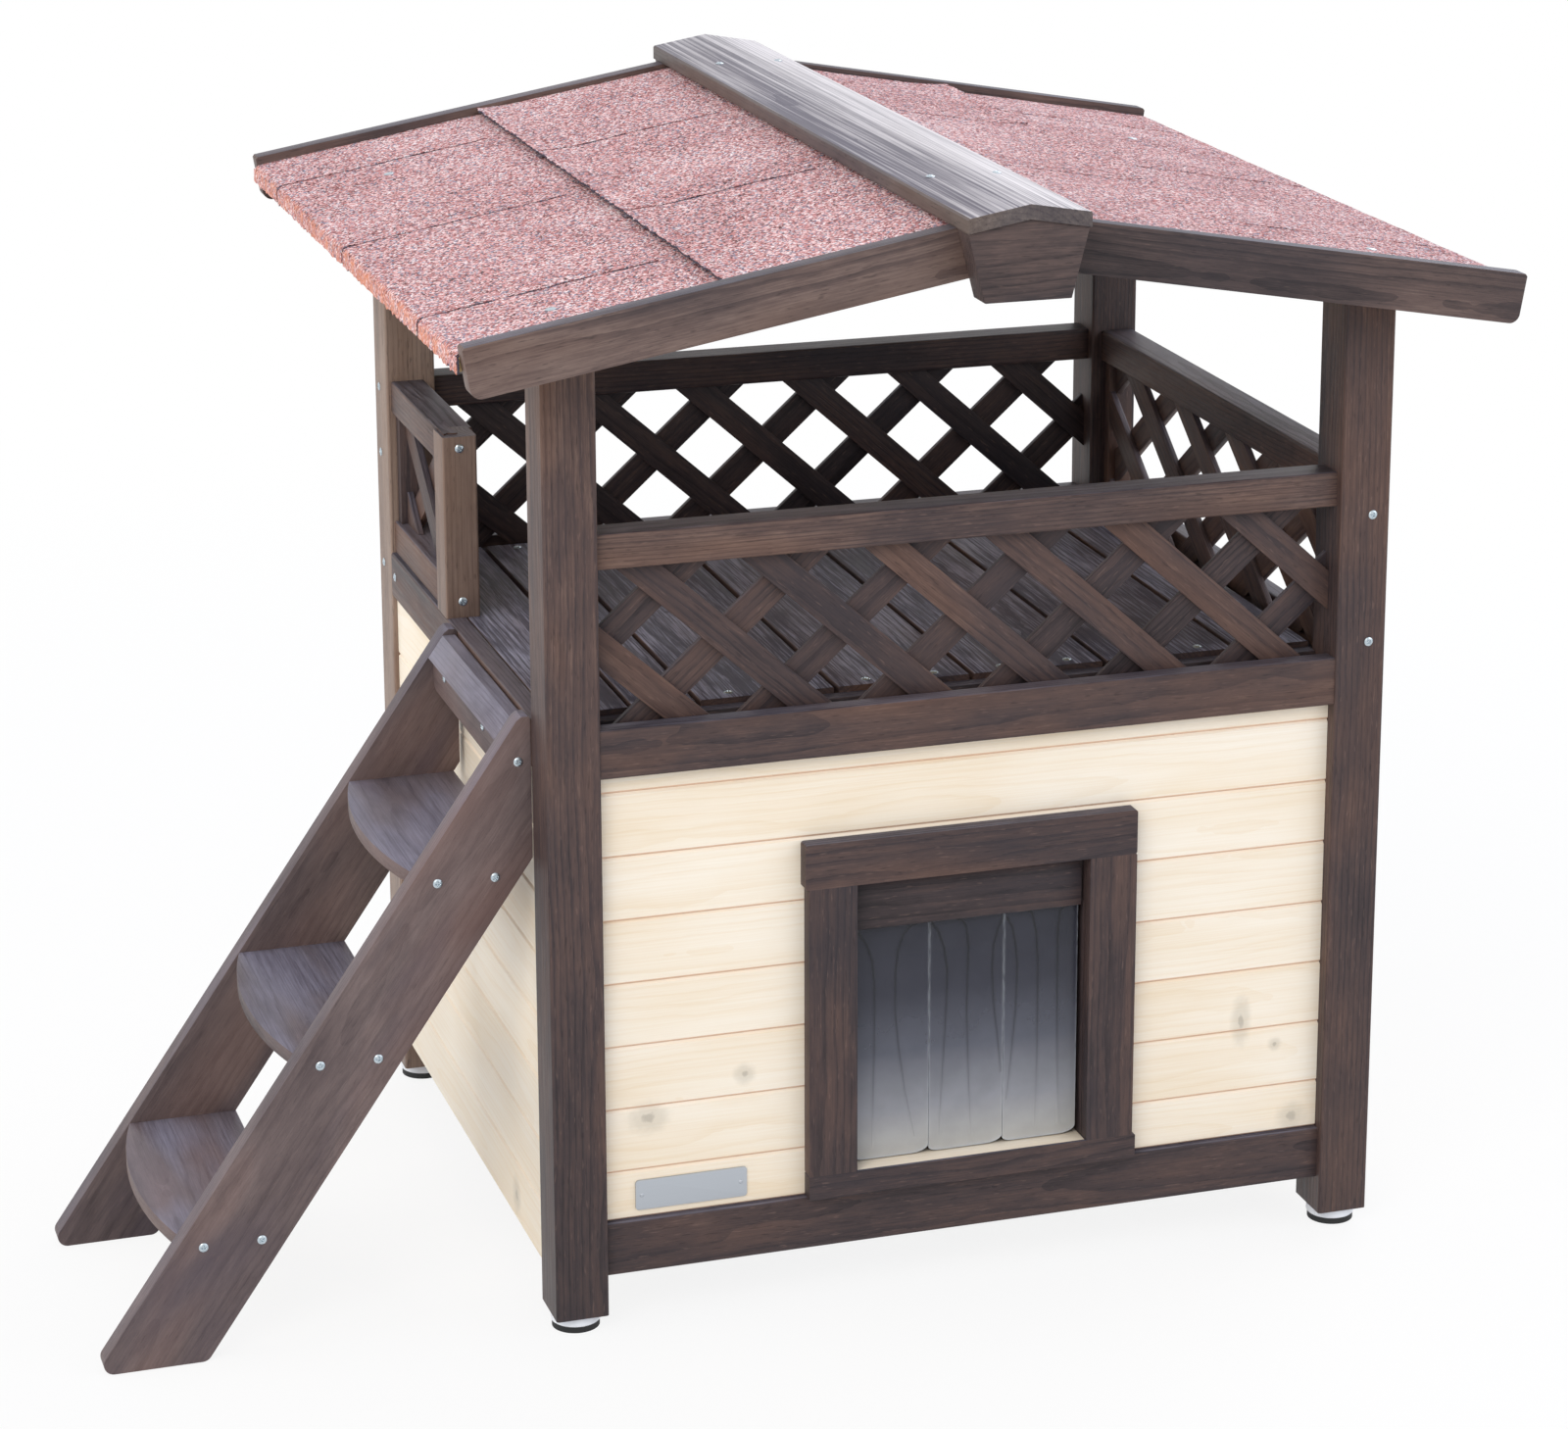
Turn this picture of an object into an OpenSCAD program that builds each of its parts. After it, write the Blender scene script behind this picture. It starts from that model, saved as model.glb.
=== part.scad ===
// Two-storey wooden cat house: a heated, insulated cabin below, a railed
// balcony under a shingled gable roof above, and a stair at its left side.
// Millimetres. +X is the right side, -Y the front with the door, +Z up.
// The origin is on the ground, under the middle of the whole outline.

/* [Posts and feet] */
// Width over the outer faces of the posts, left to right
frame_w = 750; // [700:1:820]
// Depth over the outer faces of the posts, front to back
frame_d = 640; // [600:1:700]
// Post width, seen from the front
post_w = 46; // [42:1:50]
// Post depth, seen from the side
post_d = 52; // [46:1:56]
// Radius of the eased long edges of the timbers
edge_r = 2.5; // [1:0.5:4]
// Diameter of the plastic disc of a levelling foot
foot_d = 43; // [38:1:46]
// Height of the plastic disc
foot_disc_h = 9.5; // [7:0.5:12]
// Height of the rubber pad under the disc
foot_pad_h = 5.5; // [4:0.5:8]
// How much narrower the rubber pad is than the disc, all round
foot_pad_inset = 1; // [0.5:0.5:3]
// Radius of the foot's stud
stud_r = 4; // [3:0.5:5]
// Length of the stud above the disc
stud_l = 40; // [32:1:50]
// Radial clearance of the stud in its bore
stud_gap = 0.08; // [0.05:0.01:0.1]

/* [Cabin walls] */
// Ground to the underside of the front and back bottom rails
lower_rail_z = 47.5; // [40:0.5:60]
// Height of the bottom rails
lower_rail_h = 47.5; // [40:0.5:55]
// Thickness of the bottom rails
lower_rail_t = 18; // [16:1:19]
// Set-back of the bottom rails from the post faces
lower_rail_in = 8; // [4:0.5:12]
// Ground to the underside of the belt rails
belt_z = 493.5; // [480:0.5:520]
// Height of the belt rails
belt_h = 42.5; // [38:0.5:48]
// Thickness of the belt rails
belt_t = 19; // [16:1:22]
// Set-back of the front and back belt rails from the post faces
belt_in = 2; // [1:0.5:5]
// Height of one cladding board as it shows
board_pitch = 56.4; // [48:0.2:64]
// Thickness of the cladding boards
board_t = 14; // [12:1:18]
// Depth of the groove between two boards
groove = 2; // [1:0.5:3]
// Set-back of the front and back cladding from the post faces
front_boards_in = 13.5; // [10:0.5:18]
// Set-back of the side cladding from the post faces
side_boards_in = 4.5; // [2:0.5:8]
// Height of one groove of the front and back cladding
front_groove_z = 138.8; // [130:0.2:150]
// Underside of the side cladding
side_boards_z = 42; // [36:0.5:50]
// Gap left between neighbouring boards and panels
joint_gap = 0.2; // [0.1:0.05:0.4]

/* [Cabin inside] */
// Height of the bearers that carry the floor
bearer_h = 27; // [20:1:34]
// Width of those bearers
bearer_w = 30; // [20:1:36]
// Thickness of the foam under the floor
floor_foam_t = 15; // [10:1:20]
// Thickness of the floor panel
floor_t = 10; // [8:1:14]
// Thickness of the inner lining panels
lining_t = 5.8; // [4:0.2:8]
// Top of the lining, where the ceiling panel rests
ceiling_z = 484; // [470:1:490]
// Thickness of the ceiling panel
ceiling_t = 5; // [4:0.5:8]
// Thickness of the foam over the ceiling
ceiling_foam_t = 12; // [8:1:16]
// Width, depth and thickness of the heating mat
mat_size = [420, 320, 8];
// Corner radius of the heating mat
mat_r = 25; // [10:1:40]
// Distance of the mat behind the middle of the floor
mat_y = 20; // [-20:1:60]

/* [Cable gland] */
// Gland centre to the right of the cabin's middle
gland_x = 250; // [150:1:290]
// Height of the gland above the ground
gland_z = 115; // [114:1:120]
// Radius of the cable bore
gland_bore_r = 4; // [3:0.5:5]
// Radius of the gland's tube
gland_tube_r = 8; // [7:0.5:10]
// Radius of its two flanges
gland_flange_r = 12; // [11:0.5:14]
// Thickness of each flange
gland_flange_t = 3; // [2:0.5:5]
// Radial clearance of the tube in the wall
gland_gap = 0.1; // [0.05:0.05:0.3]

/* [Door] */
// Middle of the doorway, to the right of the cabin's middle
door_x = -2; // [-40:1:40]
// Width between the door jambs
door_w = 211; // [180:1:230]
// Width of a jamb board
jamb_w = 43; // [36:1:50]
// Thickness of the boards round the door
trim_t = 14; // [10:1:18]
// Underside of the sill board, just above the bottom rail
sill_z = 95.2; // [95.2:0.2:110]
// Height of the sill board
sill_h = 21.8; // [18:0.2:28]
// How far the sill runs past the right jamb
sill_over = 3; // [0:0.5:8]
// Ground to the underside of the head board
head_z = 378; // [360:0.5:400]
// Height of the head board
head_h = 40; // [30:0.5:45]
// How far the head runs past the left jamb
head_over = 3; // [0:0.5:8]
// Thickness of the frame that lines the doorway
reveal_t = 12; // [8:1:16]
// Thickness of the pale threshold board
threshold_t = 6; // [4:0.5:8]
// Thickness of the sill's lip in front of the threshold
sill_lip = 3; // [2:0.5:5]
// Depth of the threshold board behind the lip
threshold_d = 26; // [22:0.5:30]

/* [Flap] */
// Underside of the bar that holds the flap strips
flap_z = 332.5; // [320:0.5:340]
// Gap between that bar and the doorway's top
header_gap = 0.5; // [0.3:0.1:2]
// Thickness of that bar
header_t = 7.5; // [5:0.5:10]
// Set-back of the bar's face from the door trim's face
header_in = 12; // [8:0.5:16]
// Gap between the bar's ends and the doorway's sides
header_side_gap = 3.5; // [2:0.5:6]
// Depth of the bevel along the bar's upper front edge
header_bevel = 6; // [2:0.5:6]
// Height of that bevel
header_bevel_h = 15.5; // [8:0.5:18]
// Depth of the clamp bar behind the strips
clamp_t = 14; // [10:1:18]
// Thickness of a flap strip
strip_t = 2; // [1.5:0.1:2.6]
// Radius of the round bead along a strip's upper edge
bead_r = 1.6; // [1.5:0.1:2]
// Set-back of the strips behind the bar's face
strip_in = 8.5; // [7:0.1:10]
// Side gap between two strips
strip_gap = 0.5; // [0.3:0.1:1]
// Clearance over the strips' top edge, and under their lower edge
strip_clear = 0.3; // [0.2:0.05:0.5]
// Height of the strips' lower edge above the threshold
strip_lift = 1.2; // [1:0.1:4]
// Corner radius at the strips' lower edge
strip_r = 8; // [4:0.5:14]

/* [Name plate] */
// Length, height and thickness of the bare metal plate
plate_size = [98, 24, 1];
// Left end of the plate, from the cabin's middle
plate_x = -301.5; // [-310:0.5:-260]
// Underside of the plate's left end
plate_z = 105.8; // [104:0.2:112]
// Tilt of the plate, right end down
plate_tilt = 1.8; // [0:0.1:3]
// Radius of the plate's two pins
plate_pin_r = 1.4; // [1:0.1:2]

/* [Balcony] */
// Thickness of the deck boards
deck_t = 14; // [10:1:18]
// Width of a full deck board with its gap
deck_pitch = 122; // [90:1:140]
// Gap between deck boards
deck_gap = 4.6; // [3:0.2:8]
// Width of the full board nearest the right side
deck_last = 67; // [50:1:100]
// Width with its gap of the narrow board on the left
deck_narrow = 58; // [40:1:70]
// Distance of the deck boards' ends from the posts' inner faces
deck_end = 6; // [4:0.5:10]
// Height of a deck joist
joist_h = 20; // [16:1:22]
// Width of a deck joist
joist_w = 30; // [20:1:40]
// Distance of that board from the right posts' outer faces
deck_right_in = 47; // [40:1:55]
// Height of the strip that closes the deck's ends
end_strip_h = 28; // [20:1:30]
// How far that strip lies below the deck's surface
end_strip_drop = 5; // [2:0.5:8]
// Ground to the underside of the handrails
handrail_z = 670.3; // [640:0.1:720]
// Height of a rail
rail_h = 30.4; // [26:0.2:36]
// Depth of a rail
rail_d = 32; // [28:0.5:36]
// Set-back of the front and back handrails from the post faces
handrail_in = 9.5; // [6:0.5:12]
// Set-back of the side rails from the post faces
side_rail_in = 4; // [2:0.5:8]
// Width of a stile beside a post
stile_w = 13; // [10:1:20]
// Depth of a stile
stile_d = 24; // [18:1:28]
// Front face of the end post of the short fence, behind the middle
end_post_y = 37.5; // [20:0.5:60]
// Width and depth of the end post
end_post = [31, 37.5];
// How far the end post stands above the handrails
end_post_over = 1.5; // [0:0.5:4]

/* [Lattice] */
// Width of a slat
slat_w = 26; // [20:1:32]
// Thickness of a slat
slat_t = 6; // [4:0.5:8]
// Spacing of the slats, square to their length
slat_pitch = 71.6; // [60:0.2:80]
// Slope of the slats at the front and back
slat_angle = 42; // [38:0.5:48]
// Slope of the slats in the side fences
side_slat_angle = 36; // [32:0.5:48]
// Left edge, halfway up, of a front slat that falls to the right
front_fall_x = -237.5; // [-290:0.5:-185]
// The same for a front slat that rises to the right
front_rise_x = -338; // [-390:0.5:-285]
// The same for a back slat that falls to the right
back_fall_x = -124.5; // [-175:0.5:-75]
// The same for a back slat that rises to the right
back_rise_x = -131; // [-185:0.5:-80]
// Front edge, halfway up, of a right-hand slat that rises towards the back
right_rise_y = -42; // [-100:0.5:20]
// The same for a right-hand slat that falls towards the back
right_fall_y = 60; // [0:0.5:120]
// Front edge, halfway up, of a left-hand slat that rises towards the back
left_rise_y = 141; // [80:0.5:200]
// The same for a left-hand slat that falls towards the back
left_fall_y = 190; // [130:0.5:250]

/* [Stair] */
// Slope of the stair
stair_slope = 55.3; // [50:0.1:60]
// Reach of the stringers' toes from the cabin's side
stair_reach = 382.7; // [370:0.1:400]
// Height of the stringers
stair_top = 538.5; // [530:0.5:545]
// Width of a stringer board, square to its slope
stringer_w = 78; // [70:1:90]
// Thickness of a stringer
stringer_t = 20; // [16:1:24]
// Corner radius at a stringer's toe and heel
stringer_r = 9; // [5:1:14]
// Clear width between the stringers
stair_w = 245.5; // [220:0.5:255]
// Gap between the stair and the side of the house
stair_gap = 0.3; // [0.2:0.1:0.5]
// Top of the lowest tread
tread_z = 109.6; // [100:0.2:120]
// Rise from one tread to the next
tread_rise = 148.8; // [140:0.2:155]
// Number of treads
tread_count = 3; // [2:1:3]
// Thickness of a tread
tread_t = 12; // [10:1:16]
// How far a tread's front edge bows out
tread_bow = 17; // [8:1:22]
// Height of the plank between the stringers' tops
top_plank_h = 19.5; // [16:0.5:22]
// How far that plank lies below the stringers' tops
top_plank_drop = 5; // [2:0.5:10]
// Height of the board that fixes the stair to the house
fixing_h = 28; // [22:1:34]
// Thickness of that board
fixing_t = 22; // [18:1:24]

/* [Roof] */
// Height of the barge boards' top line at the ridge
ridge_z = 963.5; // [940:0.5:1000]
// Roof pitch
roof_pitch = 9.9; // [8:0.1:14]
// Half the width over the barge boards' ends
roof_half = 456; // [430:1:480]
// Roof overhang in front of the posts, to the barge board's face
roof_front = 80.5; // [60:0.5:100]
// Roof overhang behind the posts
roof_back = 152.5; // [100:0.5:170]
// Height of a barge board, square to its slope
barge_h = 43; // [40:0.5:50]
// Thickness of a barge board
barge_t = 18; // [14:1:22]
// Corner radius at a barge board's lower end
barge_r = 9; // [4:1:12]
// Thickness of a roof panel
panel_t = 12; // [9:1:15]
// Thickness of a layer of shingles
shingle_t = 3; // [2:0.5:4]
// How far the upper shingles lie below the barge boards' top edge
shingle_drop = 4.5; // [3:0.5:7]
// Lower edge of the upper course, from the ridge line
course_x = 241; // [220:1:270]
// Length of a shingle tab along the eave
tab_l = 296; // [240:1:330]
// Width of the slot between two tabs
slot_w = 3; // [2:0.5:6]
// One slot of the lower course, from the middle
slot_y = 47; // [-20:1:60]
// Shift of the upper course's slots against the lower course's
slot_shift = 168; // [100:1:200]
// Height of the shingle folded down at the eave
fold_h = 15; // [12:0.5:18]
// Half the width of the ridge cap
cap_half = 52.7; // [46:0.1:60]
// Thickness of the ridge cap, measured upright
cap_t = 12.8; // [10:0.2:16]
// Overhang of the ridge cap in front of the barge boards
cap_front = 30; // [20:0.5:36]
// Overhang of the ridge cap behind the barge boards
cap_back = 17; // [10:0.5:36]
// Half the width of a ridge block at its foot
block_half = 37; // [30:1:42]
// Underside of the ridge blocks, below the ridge line
block_drop = 66.5; // [55:0.5:75]
// Gap between a ridge block's face and the end of the cap
block_short = 2.8; // [1:0.2:5]
// Height of the rafters and eave beams
rafter_h = 38; // [30:1:42]
// Thickness of the rafters
rafter_t = 22; // [18:1:26]
// Thickness of the eave beams
eave_beam_t = 30; // [24:1:36]

/* [Screws] */
// Distance of a deck screw from a board's long edge
board_screw_in = 28; // [20:1:34]
// Distance of a deck screw from a board's end
deck_screw_in = 13; // [10:1:20]
// Radius of a screw head
head_r = 3.8; // [3:0.1:4.5]
// Height of a screw head
screw_head_h = 1.6; // [1.2:0.1:2.4]
// Radius of a screw's shank
shank_r = 1.9; // [1.5:0.1:2.3]
// Radial clearance round a shank
shank_gap = 0.1; // [0.05:0.05:0.2]
// Length of a screw's shank
shank_l = 34; // [28:1:36]

/* [Hidden] */
$fn = 48;

SIDES = [-1, 1];
side_x = frame_w / 2;
face_y = frame_d / 2;
bay_x = side_x - post_w;
bay_y = face_y - post_d;
foot_x = side_x - post_w / 2;
foot_y = face_y - post_d / 2;
foot_h = foot_disc_h + foot_pad_h;
corners = [[-1, -1], [1, -1], [-1, 1], [1, 1]];

lower_rail_top = lower_rail_z + lower_rail_h;
lower_rail_y = face_y - lower_rail_in;
belt_top = belt_z + belt_h;
belt_y = face_y - belt_in;
side_boards_x = side_x - side_boards_in;
side_boards_back = side_boards_x - board_t;
front_boards_y = face_y - front_boards_in;
front_boards_back = front_boards_y - board_t;

bearer_z = lower_rail_z + 0.5;
floor_foam_z = bearer_z + bearer_h;
floor_z = floor_foam_z + floor_foam_t;
floor_top = floor_z + floor_t;
foam_x = side_boards_back - joint_gap;
foam_y = front_boards_back - joint_gap;
ceiling_top = ceiling_z + ceiling_t;

trim_y = front_boards_y + trim_t;
door_left = door_x - door_w / 2;
door_right = door_x + door_w / 2;
sill_top = sill_z + sill_h;
threshold_z = sill_top - threshold_t;
threshold_y = trim_y - sill_lip;
header_y = trim_y - header_in;
header_half = door_w / 2 - header_side_gap;
header_top = head_z - header_gap;
strip_y = header_y - strip_in;
hinge_z = flap_z - strip_clear - bead_r;
strip_pitch = (2 * header_half + strip_gap) / 3;
strip_l = hinge_z - sill_top - strip_lift;

deck_z = belt_top - deck_t;
deck_y = bay_y - deck_end;
deck_right = side_x - deck_right_in;
deck_gap_x = deck_right - deck_last;
belt_inner_x = side_x - belt_t;
handrail_top = handrail_z + rail_h;
handrail_y = face_y - handrail_in;
side_rail_x = side_x - side_rail_in;
slat_y = belt_y - belt_t - joint_gap;
slat_mid_z = (belt_top + handrail_z) / 2;
side_slat_x = side_rail_x - rail_d / 2 + slat_t + joint_gap / 2;
right_slat_x = belt_inner_x - joint_gap;
stile_x = side_rail_x - (rail_d - stile_d) / 2;
end_post_back = end_post_y + end_post[1];

stair_x = -side_x - stair_gap;
stair_toe = -side_x - stair_reach;
stair_run = tan(stair_slope);
stringer_level = stringer_w / sin(stair_slope);
stair_y = -bay_y;
stair_inner_y = stair_y + stringer_t;
stair_far_y = stair_inner_y + stair_w;
stair_min_x = stair_toe + stringer_r / tan(stair_slope / 2) - stringer_r;

roof_slope = tan(roof_pitch);
roof_front_y = -face_y - roof_front;
roof_back_y = face_y + roof_back;
panel_front_y = roof_front_y + barge_t;
panel_back_y = roof_back_y - barge_t;
lower_drop = shingle_drop + shingle_t;
panel_drop = lower_drop + shingle_t;
frame_drop = panel_drop + panel_t / cos(roof_pitch);
eave_x = roof_half - 1 + shingle_t;
cap_front_y = roof_front_y - cap_front;
cap_back_y = roof_back_y + cap_back;

centre_x = (stair_min_x + eave_x) / 2;
centre_y = (cap_front_y + cap_back_y) / 2;

// Screws as [place of the head's seat, direction that the shank points in]
stringer_screws = [
    for (side = SIDES, step = [0 : tread_count - 1], along = [19, 68])
        [[stair_edge_x(tread_top(step)) + along,
          side < 0 ? stair_y : stair_far_y + stringer_t,
          tread_top(step) - tread_t / 2], [0, -side, 0]]
];
stringer_top_screws = [
    for (side = SIDES)
        [[stair_x - fixing_t / 2, side < 0 ? stair_y : stair_far_y + stringer_t,
          stair_top - top_plank_drop - top_plank_h - fixing_h / 2], [0, -side, 0]]
];
fixing_screws = [
    for (y = [stair_inner_y + 58, stair_far_y - 45])
        [[stair_x - fixing_t, y, stair_fixing_top() - 6], [1, 0, 0]]
];
cap_screws = [
    for (side = SIDES, y = [-271, 339])
        [[side * 29, y, roof_z(29) + cap_t], [0, 0, -1]]
];
right_post_screws = [
    for (z = [549, 663])
        [[side_x - 16, -face_y, z], [0, 1, 0]]
];
end_post_screws = [
    for (z = [belt_top + 15, handrail_z + rail_h / 2 + 6])
        [[-side_x + 15, end_post_y, z], [0, 1, 0]]
];
back_post_screws = [
    for (z = [belt_z + 25, handrail_z - 44, handrail_z + rail_h / 2 + 4])
        [[-side_x, face_y - 20, z], [1, 0, 0]]
];
left_belt_screws = [[[-side_x, bay_y - 15, belt_top - 20], [1, 0, 0]]];
deck_screws = [
    for (edges = deck_edges(), end = SIDES, x = screw_places(edges[0], edges[1]))
        [[x, end * (deck_y - deck_screw_in), belt_top], [0, 0, -1]]
];

// Height of the barge boards' top line at a distance from the ridge
function roof_z(x) = ridge_z - roof_slope * abs(x);

// Place of the stair's upper edge at a height
function stair_edge_x(z) = stair_toe + z / stair_run;

function tread_top(step) = tread_z + step * tread_rise;

function stair_fixing_top() = stair_top - top_plank_drop - top_plank_h;

// Left and right edges of the deck boards, from right to left
function deck_edges() = concat(
    [[deck_gap_x, deck_right]],
    [for (i = [0 : 3])
        [deck_gap_x - (i + 1) * deck_pitch, deck_gap_x - i * deck_pitch - deck_gap]],
    [[deck_gap_x - 4 * deck_pitch - deck_narrow,
      deck_gap_x - 4 * deck_pitch - deck_gap]],
    [[-belt_inner_x + joint_gap,
      deck_gap_x - 4 * deck_pitch - deck_narrow - deck_gap]]
);

// Places of the screws across a board: two near its edges, or one on a narrow board
function screw_places(low, high) =
    high - low > 3 * board_screw_in
        ? [low + board_screw_in, high - board_screw_in]
        : [(low + high) / 2];

// Points of an arc from one angle to another
function arc(centre, r, from, to, steps = 8) =
    [for (i = [0 : steps])
        let (a = from + (to - from) * i / steps)
            centre + r * [cos(a), sin(a)]];

module at_origin() {
    translate([-centre_x, -centre_y, 0])
        children();
}

module block(low, high) {
    translate(low)
        cube(high - low);
}

// Rectangle with eased corners
module eased(low, high, r = edge_r) {
    translate([low[0] + r, low[1]])
        square([high[0] - low[0] - 2 * r, high[1] - low[1]]);
    translate([low[0], low[1] + r])
        square([high[0] - low[0], high[1] - low[1] - 2 * r]);
    for (x = [low[0] + r, high[0] - r], y = [low[1] + r, high[1] - r])
        translate([x, y])
            circle(r);
}

// Extrudes a profile drawn in X and Z along Y
module along_y(from, to) {
    translate([0, to, 0])
        rotate([90, 0, 0])
            linear_extrude(to - from)
                children();
}

// Extrudes a profile drawn in Y and Z along X
module along_x(from, to) {
    translate([from, 0, 0])
        rotate([90, 0, 90])
            linear_extrude(to - from)
                children();
}

// Turns something that points along +Z towards a direction along an axis
module pointing(direction) {
    rotate([0, direction[0] * 90 + (direction[2] < 0 ? 180 : 0), 0])
        rotate([-direction[1] * 90, 0, 0])
            children();
}

module screw_set(screws, length = shank_l) {
    for (screw = screws)
        translate(screw[0])
            pointing(screw[1])
                union() {
                    translate([0, 0, -screw_head_h])
                        cylinder(r = head_r, h = screw_head_h);
                    cylinder(r = shank_r, h = length);
                }
}

module pilot_holes(screws, length = shank_l) {
    for (screw = screws)
        translate(screw[0])
            pointing(screw[1])
                translate([0, 0, -1])
                    cylinder(r = shank_r + shank_gap, h = length + 2);
}

// Flat seats for screw heads on a sloping face
module spot_faces(screws) {
    for (screw = screws)
        translate(screw[0])
            cylinder(r = head_r + shank_gap, h = screw_head_h);
}

// One layer of slats inside a window; the profile is level by up
module slats(low, high, place, angle, falling) {
    level = slat_w / sin(angle);
    pitch = slat_pitch / sin(angle);
    lean = (falling ? -1 : 1) / tan(angle);
    up = high[1] - slat_mid_z;
    down = low[1] - slat_mid_z;
    reach = max(abs(lean * up), abs(lean * down)) + level;
    start = place + pitch * ceil((low[0] - reach - place) / pitch);
    intersection() {
        translate(low)
            square(high - low);
        for (x = [start : pitch : high[0] + reach])
            polygon([
                [x + lean * down, low[1]], [x + lean * down + level, low[1]],
                [x + lean * up + level, high[1]], [x + lean * up, high[1]]
            ]);
    }
}

module post(corner, screws = []) {
    x = corner[0] < 0 ? [-side_x, -bay_x] : [bay_x, side_x];
    y = corner[1] < 0 ? [-face_y, -bay_y] : [bay_y, face_y];
    color("#4f423c")
        difference() {
            intersection() {
                translate([0, 0, foot_h])
                    linear_extrude(ridge_z - foot_h)
                        eased([x[0], y[0]], [x[1], y[1]]);
                along_y(y[0] - 1, y[1] + 1)
                    under_roof(frame_drop, side_x + 20);
            }
            translate([corner[0] * foot_x, corner[1] * foot_y, foot_h - 1])
                cylinder(r = stud_r + stud_gap, h = stud_l + 4);
            pilot_holes(screws);
        }
}

// Area under the roof line, lowered by a drop
module under_roof(drop, half) {
    polygon([
        [-half, 0], [half, 0],
        [half, roof_z(half) - drop], [0, roof_z(0) - drop],
        [-half, roof_z(half) - drop]
    ]);
}

module foot_disc(corner) {
    color("#e9e9e6")
        translate([corner[0] * foot_x, corner[1] * foot_y, foot_pad_h])
            rotate_extrude()
                polygon([
                    [0, 0], [foot_d / 2 - 1, 0], [foot_d / 2, 1],
                    [foot_d / 2, foot_disc_h - 2], [foot_d / 2 - 2, foot_disc_h],
                    [stud_r, foot_disc_h], [stud_r, foot_disc_h + stud_l],
                    [0, foot_disc_h + stud_l]
                ]);
}

module foot_pad(corner) {
    color("#232323")
        translate([corner[0] * foot_x, corner[1] * foot_y, 0])
            cylinder(r = foot_d / 2 - foot_pad_inset, h = foot_pad_h);
}

// The same rail at the front and, mirrored, at the back
module front_and_back() {
    children();
    mirror([0, 1, 0])
        children();
}

module left_and_right() {
    children();
    mirror([1, 0, 0])
        children();
}

module lower_rails() {
    color("#4a3e39")
        front_and_back()
            along_x(-bay_x, bay_x)
                eased([-lower_rail_y, lower_rail_z],
                      [-lower_rail_y + lower_rail_t, lower_rail_top]);
}

module cross_belt() {
    color("#4a3e39")
        along_x(-bay_x, bay_x)
            eased([-belt_y, belt_z], [-belt_y + belt_t, belt_top]);
}

module side_belts() {
    color("#54483f")
        difference() {
            left_and_right()
                along_y(-bay_y, bay_y)
                    eased([-side_x, belt_z], [-belt_inner_x, belt_top]);
            pilot_holes(left_belt_screws);
            pilot_holes(fixing_screws, fixing_t + belt_t);
        }
}

module handrails() {
    color("#4d403a")
        front_and_back()
            along_x(-bay_x, bay_x)
                eased([-handrail_y, handrail_z], [-handrail_y + rail_d, handrail_top]);
}

module lattice_front() {
    low = [-bay_x, belt_z + 10];
    high = [bay_x, handrail_z - joint_gap];
    color("#57443a")
        translate([0, -slat_y + slat_t, 0])
            rotate([90, 0, 0])
                linear_extrude(slat_t)
                    slats(low, high, front_fall_x, slat_angle, true);
    color("#5b4b44")
        translate([0, -slat_y + 2 * slat_t + joint_gap, 0])
            rotate([90, 0, 0])
                linear_extrude(slat_t)
                    slats(low, high, front_rise_x, slat_angle, false);
}

module lattice_back() {
    low = [-bay_x, belt_z + 10];
    high = [bay_x, handrail_z - joint_gap];
    color("#3a302c")
        translate([0, slat_y - slat_t - joint_gap, 0])
            rotate([90, 0, 0])
                linear_extrude(slat_t)
                    slats(low, high, back_fall_x, slat_angle, true);
    color("#3f3531")
        translate([0, slat_y, 0])
            rotate([90, 0, 0])
                linear_extrude(slat_t)
                    slats(low, high, back_rise_x, slat_angle, false);
}

module side_rail(z, from, to) {
    along_y(from, to)
        eased([-side_rail_x, z], [-side_rail_x + rail_d, z + rail_h]);
}

// Outer and inner layer of a left-hand fence, the outer one's face at -x
module side_lattice(x, low, high, outer_y, inner_y, outer_falls) {
    along_x(-x, -x + slat_t)
        slats(low, high, outer_y, side_slat_angle, outer_falls);
    along_x(-x + slat_t + joint_gap, -x + 2 * slat_t + joint_gap)
        slats(low, high, inner_y, side_slat_angle, !outer_falls);
}

// The right fence has no lower rail: its lattice stands on the joists
module right_fence_rail() {
    color("#463b36")
        mirror([1, 0, 0])
            side_rail(handrail_z, -bay_y, bay_y);
}

module right_fence_lattice() {
    low = [-bay_y + stile_w + joint_gap, deck_z];
    high = [bay_y - stile_w - joint_gap, handrail_z - joint_gap];
    color("#3d332f")
        mirror([1, 0, 0])
            side_lattice(right_slat_x, low, high, right_fall_y, right_rise_y, true);
}

module left_fence_rails() {
    color("#5a4f45")
        difference() {
            for (z = [belt_top, handrail_z])
                side_rail(z, end_post_back, bay_y);
            pilot_holes(end_post_screws, shank_l + end_post[1]);
        }
}

module left_fence_lattice() {
    low = [end_post_back + joint_gap, belt_top + rail_h + joint_gap];
    high = [bay_y - stile_w - joint_gap, handrail_z - joint_gap];
    color("#5b4b44")
        side_lattice(side_slat_x, low, high, left_rise_y, left_fall_y, false);
}

module left_fence_end_post() {
    color("#5a4c41")
        difference() {
            translate([0, 0, belt_top])
                linear_extrude(handrail_top - belt_top + end_post_over)
                    eased([-side_x, end_post_y],
                          [-side_x + end_post[0], end_post_back]);
            pilot_holes(end_post_screws, shank_l + end_post[1]);
        }
}

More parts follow.
